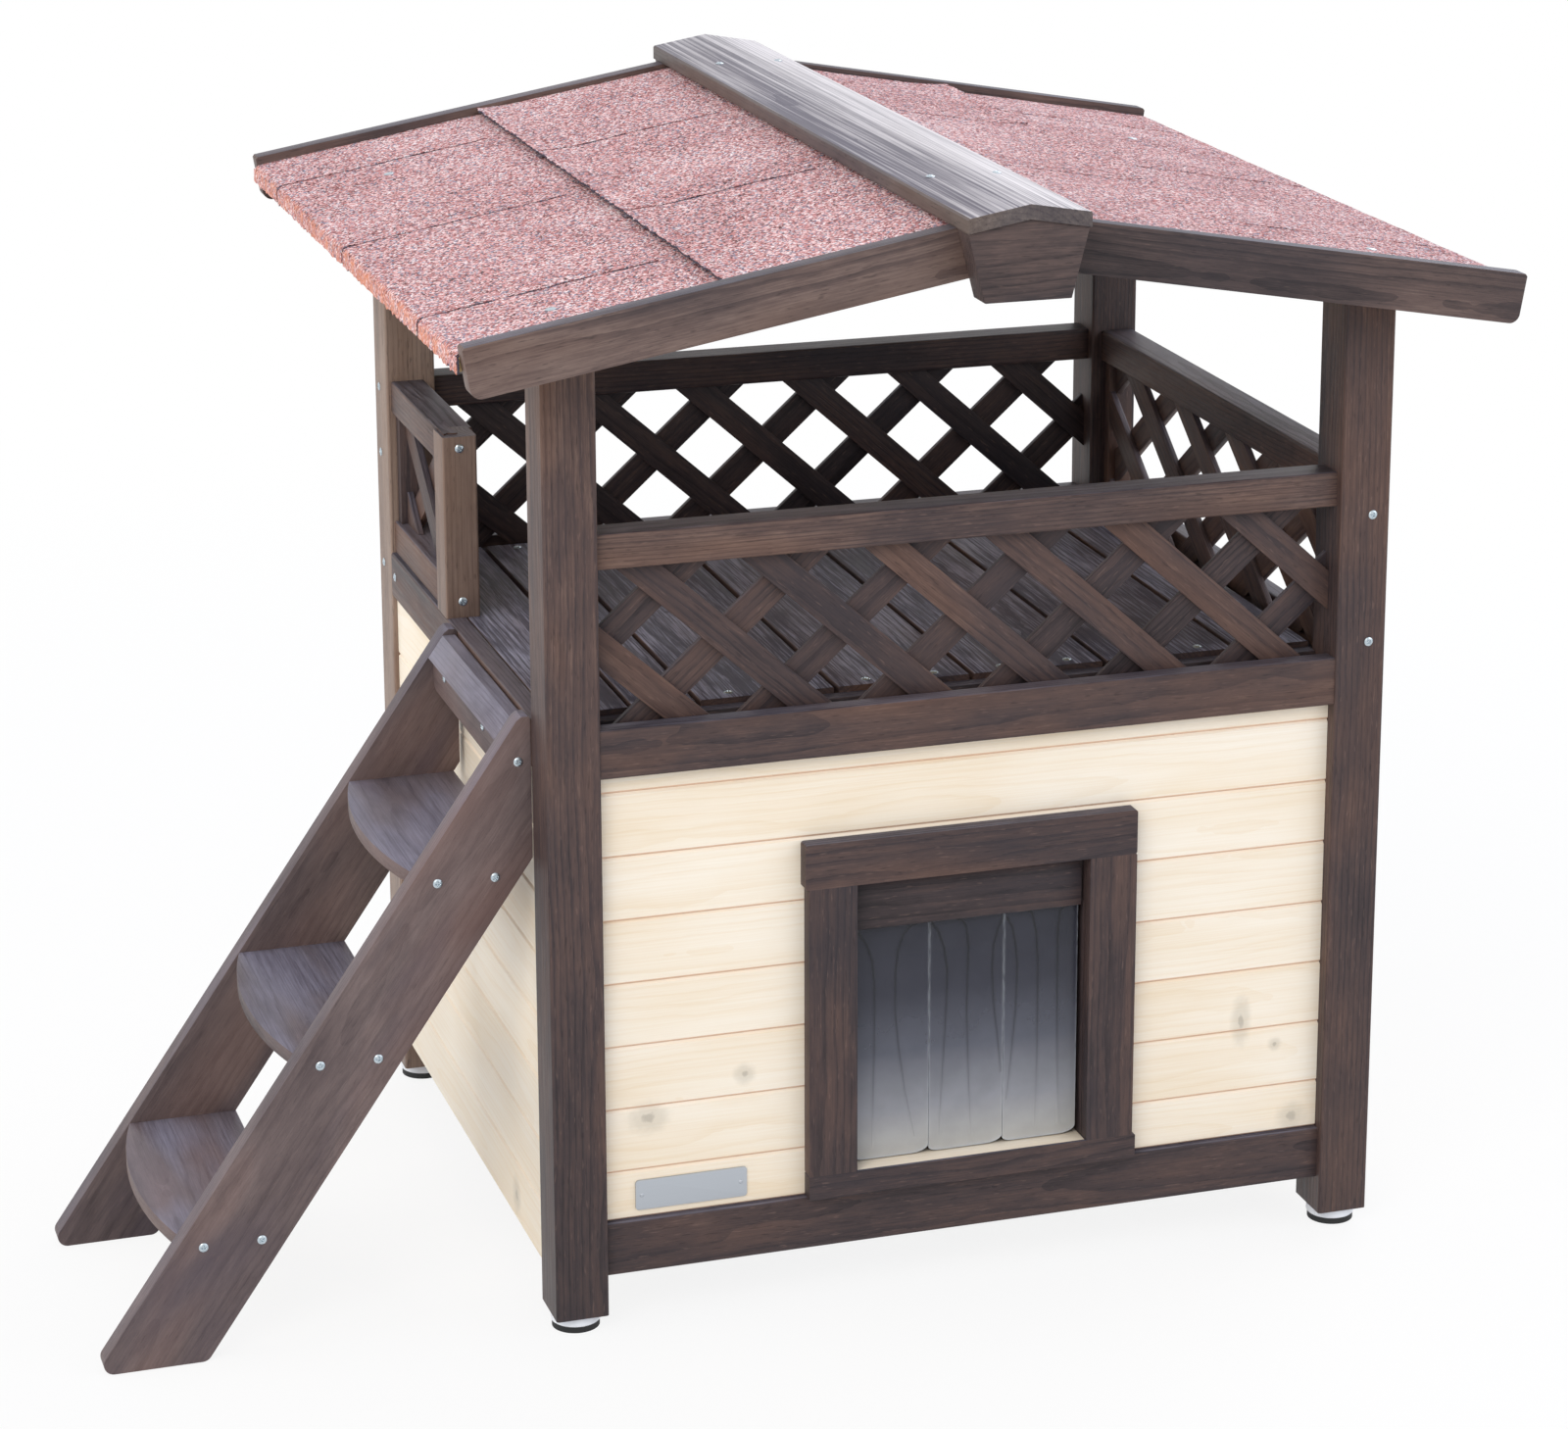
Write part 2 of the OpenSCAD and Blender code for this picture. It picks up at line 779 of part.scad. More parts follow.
module stile(y, low) {
    block([-stile_x, y, low], [-stile_x + stile_d, y + stile_w, handrail_z]);
}

module fence_stiles() {
    color("#54473e") {
        stile(bay_y - stile_w, belt_top + rail_h);
        mirror([1, 0, 0]) {
            stile(bay_y - stile_w, belt_top);
            stile(-bay_y, belt_top);
        }
    }
}

module deck_boards() {
    color("#55504f")
        difference() {
            for (edges = deck_edges())
                along_y(-deck_y, deck_y)
                    eased([edges[0], deck_z], [edges[1], belt_top], edge_r / 2);
            deck_filler();
            block([-side_x, end_post_y - joint_gap, belt_top - joint_gap],
                  [-side_x + end_post[0] + joint_gap, bay_y, belt_top + 1]);
            pilot_holes(deck_screws, deck_t + joist_h);
        }
}

// Narrow strip between the last deck board and the right fence
module deck_filler() {
    along_y(-deck_y, deck_y)
        eased([deck_right + deck_gap, deck_z],
              [right_slat_x - 2 * slat_t - 2 * joint_gap, belt_top - 2], edge_r / 2);
}

// Bearers under the floor, joists and end strips under the deck
module inner_battens() {
    color("#8d7a60")
        difference() {
            union() {
                left_and_right()
                    block([-foam_x, -bay_y, bearer_z],
                          [-foam_x + bearer_w, bay_y, floor_foam_z]);
                for (y = [-deck_y + joist_w, 0, deck_y - joist_w])
                    block([-belt_inner_x, y - joist_w / 2, deck_z - joist_h],
                          [belt_inner_x, y + joist_w / 2, deck_z]);
                front_and_back()
                    block([-bay_x + joint_gap, -deck_y - 14, belt_top - end_strip_drop - end_strip_h],
                          [bay_x - joint_gap, -deck_y - joint_gap, belt_top - end_strip_drop]);
            }
            pilot_holes(deck_screws, deck_t + joist_h);
        }
}

// Outline of one cladding board, its face at 0 and its back at board_t
module board_outline(low, high) {
    polygon([
        [0, low + groove], [groove, low], [board_t, low],
        [board_t, high - joint_gap], [groove, high - joint_gap],
        [0, high - joint_gap - groove]
    ]);
}

// Heights of the grooves of a stack of boards between two levels
function board_levels(low, high, groove_z) =
    let (first = groove_z + board_pitch * ceil((low + 4 - groove_z) / board_pitch))
        concat([low], [for (z = [first : board_pitch : high - 4]) z], [high]);

module board_stack(levels) {
    for (i = [0 : len(levels) - 2])
        board_outline(levels[i], levels[i + 1]);
}

module front_and_back_cladding() {
    levels = board_levels(lower_rail_top + joint_gap, belt_z, front_groove_z);
    translate([0, -front_boards_y, 0])
        along_x(-bay_x + joint_gap, bay_x - joint_gap)
            board_stack(levels);
}

module doorway_hole(from, to, low) {
    block([door_left - reveal_t - joint_gap, from, low],
          [door_right + reveal_t + joint_gap, to, head_z + reveal_t + joint_gap]);
}

module front_boards() {
    color("#f1e3c8")
        difference() {
            front_and_back_cladding();
            doorway_hole(-trim_y, -foam_y, threshold_z - joint_gap);
        }
}

module back_boards() {
    color("#f1e3c8")
        difference() {
            mirror([0, 1, 0])
                front_and_back_cladding();
            gland_hole();
        }
}

module side_cladding() {
    levels = board_levels(side_boards_z, belt_z, side_boards_z);
    translate([-side_boards_x, 0, 0])
        along_y(-bay_y + joint_gap, bay_y - joint_gap)
            board_stack(levels);
}

module left_boards() {
    color("#f1e3c8")
        side_cladding();
}

module right_boards() {
    color("#f1e3c8")
        mirror([1, 0, 0])
            side_cladding();
}

// A flat panel that fills the cabin between the walls, round the posts
module cabin_plate(low, high, half = foam_x) {
    block([-half, -bay_y + joint_gap, low], [half, bay_y - joint_gap, high]);
    block([-bay_x + joint_gap, -foam_y, low], [bay_x - joint_gap, foam_y, high]);
}

module cabin_floor() {
    color("#c9b48d")
        cabin_plate(floor_z, floor_top);
}

module heating_mat() {
    size = mat_size;
    color("#6f7378")
        translate([0, mat_y, floor_top])
            linear_extrude(size[2])
                eased([-size[0] / 2, -size[1] / 2], [size[0] / 2, size[1] / 2], mat_r);
}

module insulation() {
    color("#e8ecef")
        difference() {
            union() {
                cabin_plate(floor_foam_z, floor_z - joint_gap);
                cabin_plate(ceiling_top + joint_gap, ceiling_top + ceiling_foam_t,
                            min(foam_x, belt_inner_x - joint_gap));
                left_and_right()
                    block([-foam_x, -bay_y + joint_gap, floor_top + joint_gap],
                          [-bay_x - lining_t, bay_y - joint_gap, ceiling_z - joint_gap]);
                front_and_back()
                    block([-bay_x + joint_gap, -foam_y, floor_top + joint_gap],
                          [bay_x - joint_gap, -bay_y - lining_t, ceiling_z - joint_gap]);
            }
            doorway_hole(-foam_y - 1, -bay_y + 1, floor_top - 0.1);
            gland_hole();
        }
}

module inner_lining() {
    color("#b9a27c")
        difference() {
            union() {
                left_and_right()
                    block([-bay_x - lining_t + joint_gap, -bay_y + joint_gap, floor_top],
                          [-bay_x, bay_y - joint_gap, ceiling_z]);
                front_and_back()
                    block([-bay_x + joint_gap, -bay_y - lining_t + joint_gap, floor_top],
                          [bay_x - joint_gap, -bay_y, ceiling_z]);
            }
            doorway_hole(-foam_y - 1, -bay_y + 1, floor_top - 1);
            gland_hole();
        }
}

module cabin_ceiling() {
    color("#c9b48d")
        cabin_plate(ceiling_z, ceiling_top);
}

module gland_hole() {
    translate([gland_x, bay_y - 1, gland_z])
        rotate([-90, 0, 0])
            cylinder(r = gland_tube_r + gland_gap, h = post_d);
}

module cable_gland() {
    wall = front_boards_y - bay_y;
    color("#2b2b2b")
        translate([gland_x, bay_y - gland_flange_t, gland_z])
            rotate([-90, 0, 0])
                rotate_extrude()
                    polygon([
                        [gland_bore_r, 0], [gland_flange_r, 0],
                        [gland_flange_r, gland_flange_t], [gland_tube_r, gland_flange_t],
                        [gland_tube_r, gland_flange_t + wall],
                        [gland_flange_r, gland_flange_t + wall],
                        [gland_flange_r, 2 * gland_flange_t + wall],
                        [gland_bore_r, 2 * gland_flange_t + wall]
                    ]);
}

module door_head() {
    color("#43393a")
        along_y(-trim_y, -front_boards_y)
            eased([door_left - jamb_w - head_over, head_z],
                  [door_right + jamb_w, head_z + head_h]);
}

module door_jambs() {
    color("#4a3c36")
        for (x = [door_left - jamb_w, door_right])
            along_y(-trim_y, -front_boards_y)
                eased([x, sill_top], [x + jamb_w, head_z], edge_r / 2);
}

module door_sill() {
    color("#43393a")
        difference() {
            along_y(-trim_y, -front_boards_y)
                eased([door_left - jamb_w, sill_z],
                      [door_right + jamb_w + sill_over, sill_top], edge_r / 2);
            block([door_left, -threshold_y, threshold_z],
                  [door_right, -front_boards_y + 1, sill_top + 1]);
        }
}

module door_threshold() {
    color("#efe6d2")
        block([door_left + joint_gap, -threshold_y, threshold_z],
              [door_right - joint_gap, -threshold_y + threshold_d, sill_top]);
}

// Frame that lines the doorway, with the bar that backs the flap strips
module door_frame() {
    color("#4b3a33") {
        for (x = [door_left - reveal_t, door_right])
            block([x, -front_boards_y, threshold_z],
                  [x + reveal_t, -bay_y, head_z + reveal_t]);
        block([door_left - reveal_t, -front_boards_y, head_z],
              [door_right + reveal_t, -bay_y, head_z + reveal_t]);
        block([door_left - 1, -header_y + header_t, flap_z],
              [door_right + 1, -header_y + header_t + clamp_t, header_top]);
    }
}

module flap_header() {
    front = -header_y;
    color("#3b3338")
        along_x(door_x - header_half, door_x + header_half)
            polygon([
                [front, flap_z], [front + header_t, flap_z],
                [front + header_t, header_top], [front + header_bevel, header_top],
                [front, header_top - header_bevel_h]
            ]);
}

// One strip of the flap: round bead along its top edge, rounded lower corners
module flap_strip(index) {
    left = door_x - header_half + index * strip_pitch;
    right = left + strip_pitch - strip_gap;
    low = hinge_z - strip_l;
    color("#aeb4b6", 0.6)
        intersection() {
            union() {
                along_x(left, right)
                    translate([-strip_y - strip_t / 2, low])
                        square([strip_t, strip_l]);
                translate([left, -strip_y, hinge_z])
                    rotate([0, 90, 0])
                        cylinder(r = bead_r, h = right - left);
            }
            along_y(-strip_y - 2 * strip_t, -strip_y + 2 * strip_t)
                polygon(concat(
                    [[left, hinge_z + strip_t], [right, hinge_z + strip_t]],
                    arc([right - strip_r, low + strip_r], strip_r, 0, -90),
                    arc([left + strip_r, low + strip_r], strip_r, -90, -180)
                ));
        }
}

module name_plate() {
    color("#c9ccce")
        translate([plate_x, -front_boards_y, plate_z])
            rotate([0, plate_tilt, 0]) {
                block([0, -plate_size[2], 0], [plate_size[0], 0, plate_size[1]]);
                for (x = [5, plate_size[0] - 5])
                    translate([x, -plate_size[2], plate_size[1] / 2])
                        rotate([90, 0, 0])
                            cylinder(r = plate_pin_r, h = 0.8);
            }
}

// Side of a stringer: toe and heel rounded, upright back against the house
module stringer_outline() {
    a = stair_slope;
    toe = [stair_toe + stringer_r / tan(a / 2), stringer_r];
    heel = [stair_toe + stringer_level - stringer_r * tan(a / 2), stringer_r];
    polygon(concat(
        arc(toe, stringer_r, 90 + a, 270),
        arc(heel, stringer_r, -90, a - 90),
        [[stair_x, (stair_x - stair_toe - stringer_level) * stair_run],
         [stair_x, stair_top - 2], [stair_x - 2, stair_top],
         [stair_edge_x(stair_top) + 2, stair_top],
         [stair_edge_x(stair_top - 3), stair_top - 3]]
    ));
}

module stair_stringers() {
    color("#5d5049")
        difference() {
            for (y = [stair_y, stair_far_y])
                along_y(y, y + stringer_t)
                    stringer_outline();
            pilot_holes(stringer_screws);
            pilot_holes(stringer_top_screws);
        }
}

module tread_outline() {
    depth = stringer_level;
    half = stair_w / 2;
    bow_r = (half * half + tread_bow * tread_bow) / (2 * tread_bow);
    intersection() {
        translate([bow_r - tread_bow, half])
            circle(bow_r, $fn = 180);
        translate([-tread_bow, 0])
            square([depth + tread_bow, stair_w]);
    }
}

module stair_treads() {
    color("#5f5658")
        difference() {
            for (step = [0 : tread_count - 1])
                translate([stair_edge_x(tread_top(step)), stair_inner_y,
                           tread_top(step) - tread_t])
                    linear_extrude(tread_t)
                        tread_outline();
            pilot_holes(stringer_screws);
        }
}

module stair_top_plank() {
    top = stair_top - top_plank_drop;
    color("#6d6566")
        along_y(stair_inner_y, stair_far_y)
            polygon([
                [stair_edge_x(top - top_plank_h), top - top_plank_h],
                [stair_x, top - top_plank_h], [stair_x, top - 2],
                [stair_x - 2, top], [stair_edge_x(top), top]
            ]);
}

module stair_fixing_board() {
    top = stair_fixing_top();
    low = top - fixing_h;
    color("#5d5049")
        difference() {
            along_x(stair_x - fixing_t, stair_x)
                polygon(concat(
                    [[stair_far_y, top], [stair_inner_y, top]],
                    arc([stair_inner_y + 12, low + 12], 12, 180, 270),
                    arc([stair_far_y - 12, low + 12], 12, 270, 360)
                ));
            pilot_holes(fixing_screws, fixing_t + belt_t);
            pilot_holes(stringer_top_screws);
        }
}

// A sloping layer of the right-hand slope, between two drops below the roof line
module roof_layer(from, to, top_drop, low_drop) {
    polygon([
        [from, roof_z(from) - low_drop], [to, roof_z(to) - low_drop],
        [to, roof_z(to) - top_drop], [from, roof_z(from) - top_drop]
    ]);
}

module roof_panels() {
    color("#b89f78")
        left_and_right()
            along_y(panel_front_y + joint_gap, panel_back_y - joint_gap)
                roof_layer(joint_gap, roof_half - 1, panel_drop, frame_drop);
}

// Slots between the tabs of a course
module tab_slots(first, from, to) {
    for (y = [first : tab_l : panel_back_y])
        block([from, y - slot_w / 2, ridge_z - 200], [to, y + slot_w / 2, ridge_z]);
}

module shingle_slope() {
    low = panel_front_y + joint_gap;
    high = panel_back_y - joint_gap;
    first = slot_y + tab_l * ceil((low + 20 - slot_y) / tab_l);
    shifted = slot_y + slot_shift;
    first_up = shifted + tab_l * ceil((low + 20 - shifted) / tab_l);
    difference() {
        along_y(low, high)
            union() {
                roof_layer(joint_gap, eave_x, lower_drop, panel_drop - joint_gap);
                roof_layer(roof_half - 1 + joint_gap, eave_x, lower_drop, lower_drop + fold_h);
            }
        tab_slots(first, course_x + 12, eave_x + 1);
    }
    difference() {
        along_y(low, high)
            roof_layer(joint_gap, course_x, shingle_drop, lower_drop - joint_gap);
        tab_slots(first_up, cap_half + 10, course_x + 1);
    }
}

module shingles_left() {
    color("#b97b78")
        mirror([1, 0, 0])
            shingle_slope();
}

module shingles_right() {
    color("#b97b78")
        shingle_slope();
}

// Barge board of the right-hand slope, its outer end cut square and rounded
module barge_outline() {
    p = roof_pitch;
    along = [cos(p), -sin(p)];
    down = [-sin(p), -cos(p)];
    end = [roof_half, roof_z(roof_half)];
    corner = end + (barge_h - barge_r) * down - barge_r * along;
    polygon(concat(
        [[joint_gap, roof_z(joint_gap)], end - 2 * along, end + 2 * down],
        arc(corner, barge_r, -p, -p - 90),
        [[joint_gap, roof_z(joint_gap) - barge_h / cos(p)]]
    ));
}

module barge_boards() {
    color("#5c5049")
        left_and_right()
            for (y = [roof_front_y, roof_back_y - barge_t])
                along_y(y, y + barge_t)
                    barge_outline();
}

module ridge_cap() {
    h = cap_half;
    color("#7b6f69")
        difference() {
            along_y(cap_front_y, cap_back_y)
                polygon([
                    [0, roof_z(0)], [h, roof_z(h)], [h, roof_z(h) + cap_t - 1.5],
                    [h - 1.5, roof_z(h - 1.5) + cap_t], [0, roof_z(0) + cap_t],
                    [1.5 - h, roof_z(h - 1.5) + cap_t], [-h, roof_z(h) + cap_t - 1.5],
                    [-h, roof_z(h)]
                ]);
            pilot_holes(cap_screws, cap_t);
            spot_faces(cap_screws);
        }
}

module ridge_block(from, to) {
    low = ridge_z - block_drop;
    along_y(from, to)
        polygon([
            [-block_half, low], [block_half, low],
            [cap_half - 1, roof_z(cap_half - 1)], [0, roof_z(0)],
            [1 - cap_half, roof_z(cap_half - 1)]
        ]);
}

module ridge_blocks() {
    color("#5c5049") {
        ridge_block(cap_front_y + block_short, roof_front_y);
        ridge_block(roof_back_y, cap_back_y - block_short);
    }
}

// Rafters against the posts' inner faces, and beams between them at the eaves
module roof_frame() {
    low_drop = frame_drop + rafter_h;
    color("#8d7a60") {
        left_and_right()
            for (y = [-bay_y, bay_y - rafter_t])
                along_y(y, y + rafter_t)
                    roof_layer(joint_gap, side_x, frame_drop, low_drop);
        left_and_right()
            along_y(-bay_y + rafter_t + joint_gap, bay_y - rafter_t - joint_gap)
                roof_layer(side_x - eave_beam_t - 4, side_x - 4, frame_drop, low_drop);
    }
}

module screws() {
    color("#b9bdc0") {
        screw_set(stringer_screws);
        screw_set(stringer_top_screws);
        screw_set(fixing_screws, fixing_t + belt_t - 4);
        screw_set(cap_screws, cap_t);
        screw_set(right_post_screws);
        screw_set(end_post_screws, shank_l + 20);
        screw_set(back_post_screws);
        screw_set(left_belt_screws, belt_t - 3);
        screw_set(deck_screws, deck_t + joist_h - 4);
    }
}

at_origin() post(corners[0]);  // post_front_left
at_origin() post(corners[1], right_post_screws);  // post_front_right
at_origin() post(corners[2], back_post_screws);  // post_back_left
at_origin() post(corners[3]);  // post_back_right
at_origin() foot_disc(corners[0]);  // foot_disc_front_left
at_origin() foot_disc(corners[1]);  // foot_disc_front_right
at_origin() foot_disc(corners[2]);  // foot_disc_back_left
at_origin() foot_disc(corners[3]);  // foot_disc_back_right
at_origin() foot_pad(corners[0]);  // foot_pad_front_left
at_origin() foot_pad(corners[1]);  // foot_pad_front_right
at_origin() foot_pad(corners[2]);  // foot_pad_back_left
at_origin() foot_pad(corners[3]);  // foot_pad_back_right
at_origin() lower_rails();
at_origin() cross_belt();  // belt_front
at_origin() mirror([0, 1, 0]) cross_belt();  // belt_back
at_origin() side_belts();
at_origin() handrails();
at_origin() lattice_front();
at_origin() lattice_back();
at_origin() right_fence_rail();
at_origin() right_fence_lattice();
at_origin() left_fence_rails();
at_origin() left_fence_end_post();
at_origin() left_fence_lattice();
at_origin() fence_stiles();
at_origin() deck_boards();
at_origin() inner_battens();
at_origin() front_boards();
at_origin() back_boards();
at_origin() left_boards();
at_origin() right_boards();
at_origin() cabin_floor();
at_origin() heating_mat();
at_origin() insulation();
at_origin() inner_lining();
at_origin() cabin_ceiling();
at_origin() cable_gland();
at_origin() door_head();
at_origin() door_jambs();
at_origin() door_sill();
at_origin() door_threshold();
at_origin() door_frame();
at_origin() flap_header();
at_origin() flap_strip(0);  // flap_strip_left
at_origin() flap_strip(1);  // flap_strip_middle
at_origin() flap_strip(2);  // flap_strip_right
at_origin() name_plate();
at_origin() stair_stringers();
at_origin() stair_treads();
at_origin() stair_top_plank();
at_origin() stair_fixing_board();
at_origin() roof_panels();
at_origin() shingles_left();
at_origin() shingles_right();
at_origin() barge_boards();
at_origin() ridge_cap();
at_origin() ridge_blocks();
at_origin() roof_frame();
at_origin() screws();
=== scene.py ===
import random
from functools import partial
from math import ceil, cos, exp, pi, radians, sin, tan

import bmesh
import bpy
from mathutils import Matrix, Vector, noise


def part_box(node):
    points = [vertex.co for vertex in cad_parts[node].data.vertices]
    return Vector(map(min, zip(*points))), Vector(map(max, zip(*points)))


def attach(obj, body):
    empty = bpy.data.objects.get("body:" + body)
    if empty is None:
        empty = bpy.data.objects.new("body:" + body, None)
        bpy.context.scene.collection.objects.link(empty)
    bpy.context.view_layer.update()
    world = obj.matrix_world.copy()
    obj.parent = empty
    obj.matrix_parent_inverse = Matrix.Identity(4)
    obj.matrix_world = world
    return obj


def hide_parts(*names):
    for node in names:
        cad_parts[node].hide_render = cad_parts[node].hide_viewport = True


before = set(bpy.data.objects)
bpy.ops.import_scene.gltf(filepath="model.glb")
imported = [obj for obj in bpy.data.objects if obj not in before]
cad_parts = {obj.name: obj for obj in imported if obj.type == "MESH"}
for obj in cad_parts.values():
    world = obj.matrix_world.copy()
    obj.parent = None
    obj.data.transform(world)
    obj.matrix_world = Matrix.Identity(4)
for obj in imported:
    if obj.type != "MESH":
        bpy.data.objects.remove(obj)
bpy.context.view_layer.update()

mm = 0.001
houseMiddle = Vector((0.145761, -0.0295, 0.0))  # on the floor between the four posts
print("frame loaded")


# Small helpers

def linear(code):
    values = [int(code[i:i + 2], 16) / 255 for i in (1, 3, 5)]
    return tuple(v / 12.92 if v <= 0.04045 else ((v + 0.055) / 1.055) ** 2.4
                 for v in values) + (1.0,)


def newMaterial(name):
    made = bpy.data.materials.new(name)
    made.use_nodes = True
    return made, partial(addNode, made.node_tree), made.node_tree.nodes["Principled BSDF"]


def setNode(node, settings=None, links=None):
    for key, value in (settings or {}).items():
        if key == "stops":
            while len(node.color_ramp.elements) < len(value):
                node.color_ramp.elements.new(0.5)
            for element, (place, code) in zip(node.color_ramp.elements, value):
                element.position = place
                element.color = linear(code)
        elif isinstance(key, str) and hasattr(node, key):
            setattr(node, key, value)
        else:
            isHex = isinstance(value, str) and value.startswith("#")
            node.inputs[key].default_value = linear(value) if isHex else value
    for key, source in (links or {}).items():
        start = source.outputs[0] if isinstance(source, bpy.types.Node) else source
        node.id_data.links.new(start, node.inputs[key])
    return node


def addNode(tree, kind, settings=None, links=None):
    return setNode(tree.nodes.new("ShaderNode" + kind), settings, links)


def addObject(name, data):
    made = bpy.data.objects.new(name, data)
    bpy.context.scene.collection.objects.link(made)
    return made


def addMesh(name, bm, material):
    mesh = bpy.data.meshes.new(name)
    bm.to_mesh(mesh)
    bm.free()
    mesh.materials.append(material)
    return addObject(name, mesh)


def addPiece(name, bm, material, body="house", nodes=()):
    made = addMesh(name, bm, material)
    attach(made, body)
    if nodes:
        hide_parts(*nodes)
    return made


def markEdges(bm, angle=32):
    for face in bm.faces:
        face.smooth = True
    for edge in bm.edges:
        edge.smooth = len(edge.link_faces) == 2 and edge.calc_face_angle(pi) < radians(angle)


def addShell(name, bm, angle, material, body="house", nodes=()):
    bmesh.ops.recalc_face_normals(bm, faces=bm.faces)
    markEdges(bm, angle)
    addPiece(name, bm, material, body, nodes)


def joinRings(bm, rings, capped=True):
    if capped:
        bm.faces.new(rings[0])
        bm.faces.new(rings[-1])
    for one, two in zip(rings, rings[1:]):
        for k in range(len(one)):
            n = (k + 1) % len(one)
            bm.faces.new((one[k], one[n], two[n], two[k]))


def joinSheets(bm, front, back):
    # two grids of verts, closed around their rims
    rows, columns = len(front) - 1, len(front[0]) - 1
    for j in range(rows):
        for i in range(columns):
            bm.faces.new((front[j][i], front[j + 1][i], front[j + 1][i + 1], front[j][i + 1]))
            bm.faces.new((back[j][i], back[j][i + 1], back[j + 1][i + 1], back[j + 1][i]))
    rim = [(j, 0) for j in range(rows)] + [(rows, i) for i in range(columns)]
    rim += [(j, columns) for j in range(rows, 0, -1)] + [(0, i) for i in range(columns, 0, -1)]
    for (j, i), (m, n) in zip(rim, rim[1:] + rim[:1]):
        bm.faces.new((front[j][i], front[m][n], back[m][n], back[j][i]))


# Camera, light and floor

photoCamera = {
    "place": (-1.1817, -3.5650, 1.6266),  # from the house's middle
    "yaw": -0.32877, "pitch": -0.26687, "roll": 0.00383,  # radians
    "wide": 1600, "high": 1458,  # pixels of the image, as are the three values below
    "focal": 4383.6, "middleU": 914.0, "middleV": 537.0,
    "sensor": 36, "farthest": 200,  # mm, metres
}


def addCamera(look):
    yaw, pitch, roll = look["yaw"], look["pitch"], look["roll"]
    ahead = Vector((-sin(yaw) * cos(pitch), cos(yaw) * cos(pitch), sin(pitch)))
    level = Vector((cos(yaw), sin(yaw), 0))
    up = level.cross(ahead)
    side = cos(roll) * level + sin(roll) * up
    top = -sin(roll) * level + cos(roll) * up
    data = bpy.data.cameras.new("photoCamera")
    data.sensor_width = look["sensor"]
    data.lens = look["focal"] * look["sensor"] / look["wide"]
    data.shift_x = (look["wide"] / 2 - look["middleU"]) / look["wide"]
    data.shift_y = (look["middleV"] - look["high"] / 2) / look["wide"]
    data.clip_end = look["farthest"]
    camera = addObject("photoCamera", data)
    turn = Matrix((side, top, -ahead)).transposed().to_4x4()
    camera.matrix_world = Matrix.Translation(Vector(look["place"]) + houseMiddle) @ turn
    bpy.context.scene.camera = camera


studio = {
    "floorColour": "#e9e8e6", "floorSize": 40,  # metres from the middle to an edge
    # share of white seen under the house, and the metres over which it rises to all of it
    "floorWhite": 0.86, "whiteFrom": 0.9, "whiteTo": 3.0,
    "skyColour": "#eef3ff", "skyStrength": 0.78,
    "aim": (0, 0, 0.4),
    "lamps": [  # name, place, size in metres, watts, colour
        ("keyLamp", (-2.6, -3.4, 3.6), 2.6, 100, "#fffaf2"),
        ("sideLamp", (-4.2, 0.2, 2.6), 2.6, 62, "#fffdf8"),
        ("fillLamp", (3.4, -2.6, 2.2), 2.6, 33, "#f3f6ff"),
        ("backLamp", (3.1, 1.7, 3.5), 3.0, 80, "#f4f7ff"),
    ],
}


def raysSeen(add, kinds):
    path = add("LightPath")
    seen = path.outputs[kinds[0]]
    for kind in kinds[1:]:
        seen = add("Math", {"operation": "MAXIMUM"}, {0: seen, 1: path.outputs[kind]})
    return seen


def addStudio(look):
    world = bpy.data.worlds.new("studioSky")
    bpy.context.scene.world = world
    world.use_nodes = True
    tree = world.node_tree
    add = partial(addNode, tree)
    sky = setNode(tree.nodes["Background"],
                  {"Color": look["skyColour"], "Strength": look["skyStrength"]})
    plain = add("Background", {"Color": "#ffffff", "Strength": 1.0})
    seen = raysSeen(add, ["Is Camera Ray", "Is Glossy Ray", "Is Transmission Ray"])
    mixed = add("MixShader", {}, {0: seen, 1: sky, 2: plain})
    setNode(tree.nodes["World Output"], {}, {"Surface": mixed})

    # pale paper: no gloss, soft shadow
    paper, add, shader = newMaterial("matt paper floor")
    setNode(shader, {"Base Color": look["floorColour"], "Roughness": 0.9})
    white = add("Emission", {"Color": "#ffffff", "Strength": 1.0})
    where = add("TexCoord").outputs["Object"]
    far = add("VectorMath", {"operation": "LENGTH"}, {0: where})
    pale = add("MapRange", {
        "interpolation_type": "SMOOTHSTEP", "From Min": look["whiteFrom"],
        "From Max": look["whiteTo"], "To Min": look["floorWhite"]}, {"Value": far.outputs["Value"]})
    seen = raysSeen(add, ["Is Camera Ray", "Is Glossy Ray"])
    share = add("Math", {"operation": "MULTIPLY"}, {0: seen, 1: pale})
    mixed = add("MixShader", {}, {0: share, 1: shader, 2: white})
    setNode(paper.node_tree.nodes["Material Output"], {}, {"Surface": mixed})
    bm = bmesh.new()
    bmesh.ops.create_grid(bm, x_segments=4, y_segments=4, size=look["floorSize"])
    floor = addMesh("floor", bm, paper)

    for name, place, size, watts, code in look["lamps"]:
        data = bpy.data.lights.new(name, "AREA")
        data.size, data.energy, data.color = size, watts, linear(code)[:3]
        lamp = addObject(name, data)
        lamp.location = place
        lamp.rotation_mode = "QUATERNION"
        away = Vector(place) - Vector(look["aim"])
        lamp.rotation_quaternion = away.to_track_quat("Z", "Y")


addCamera(photoCamera)
addStudio(studio)
bpy.context.scene.view_settings.view_transform = "Standard"
print("camera and studio ready")


# Wood: each loose board gets its own place along, across and through the log it was sawn from

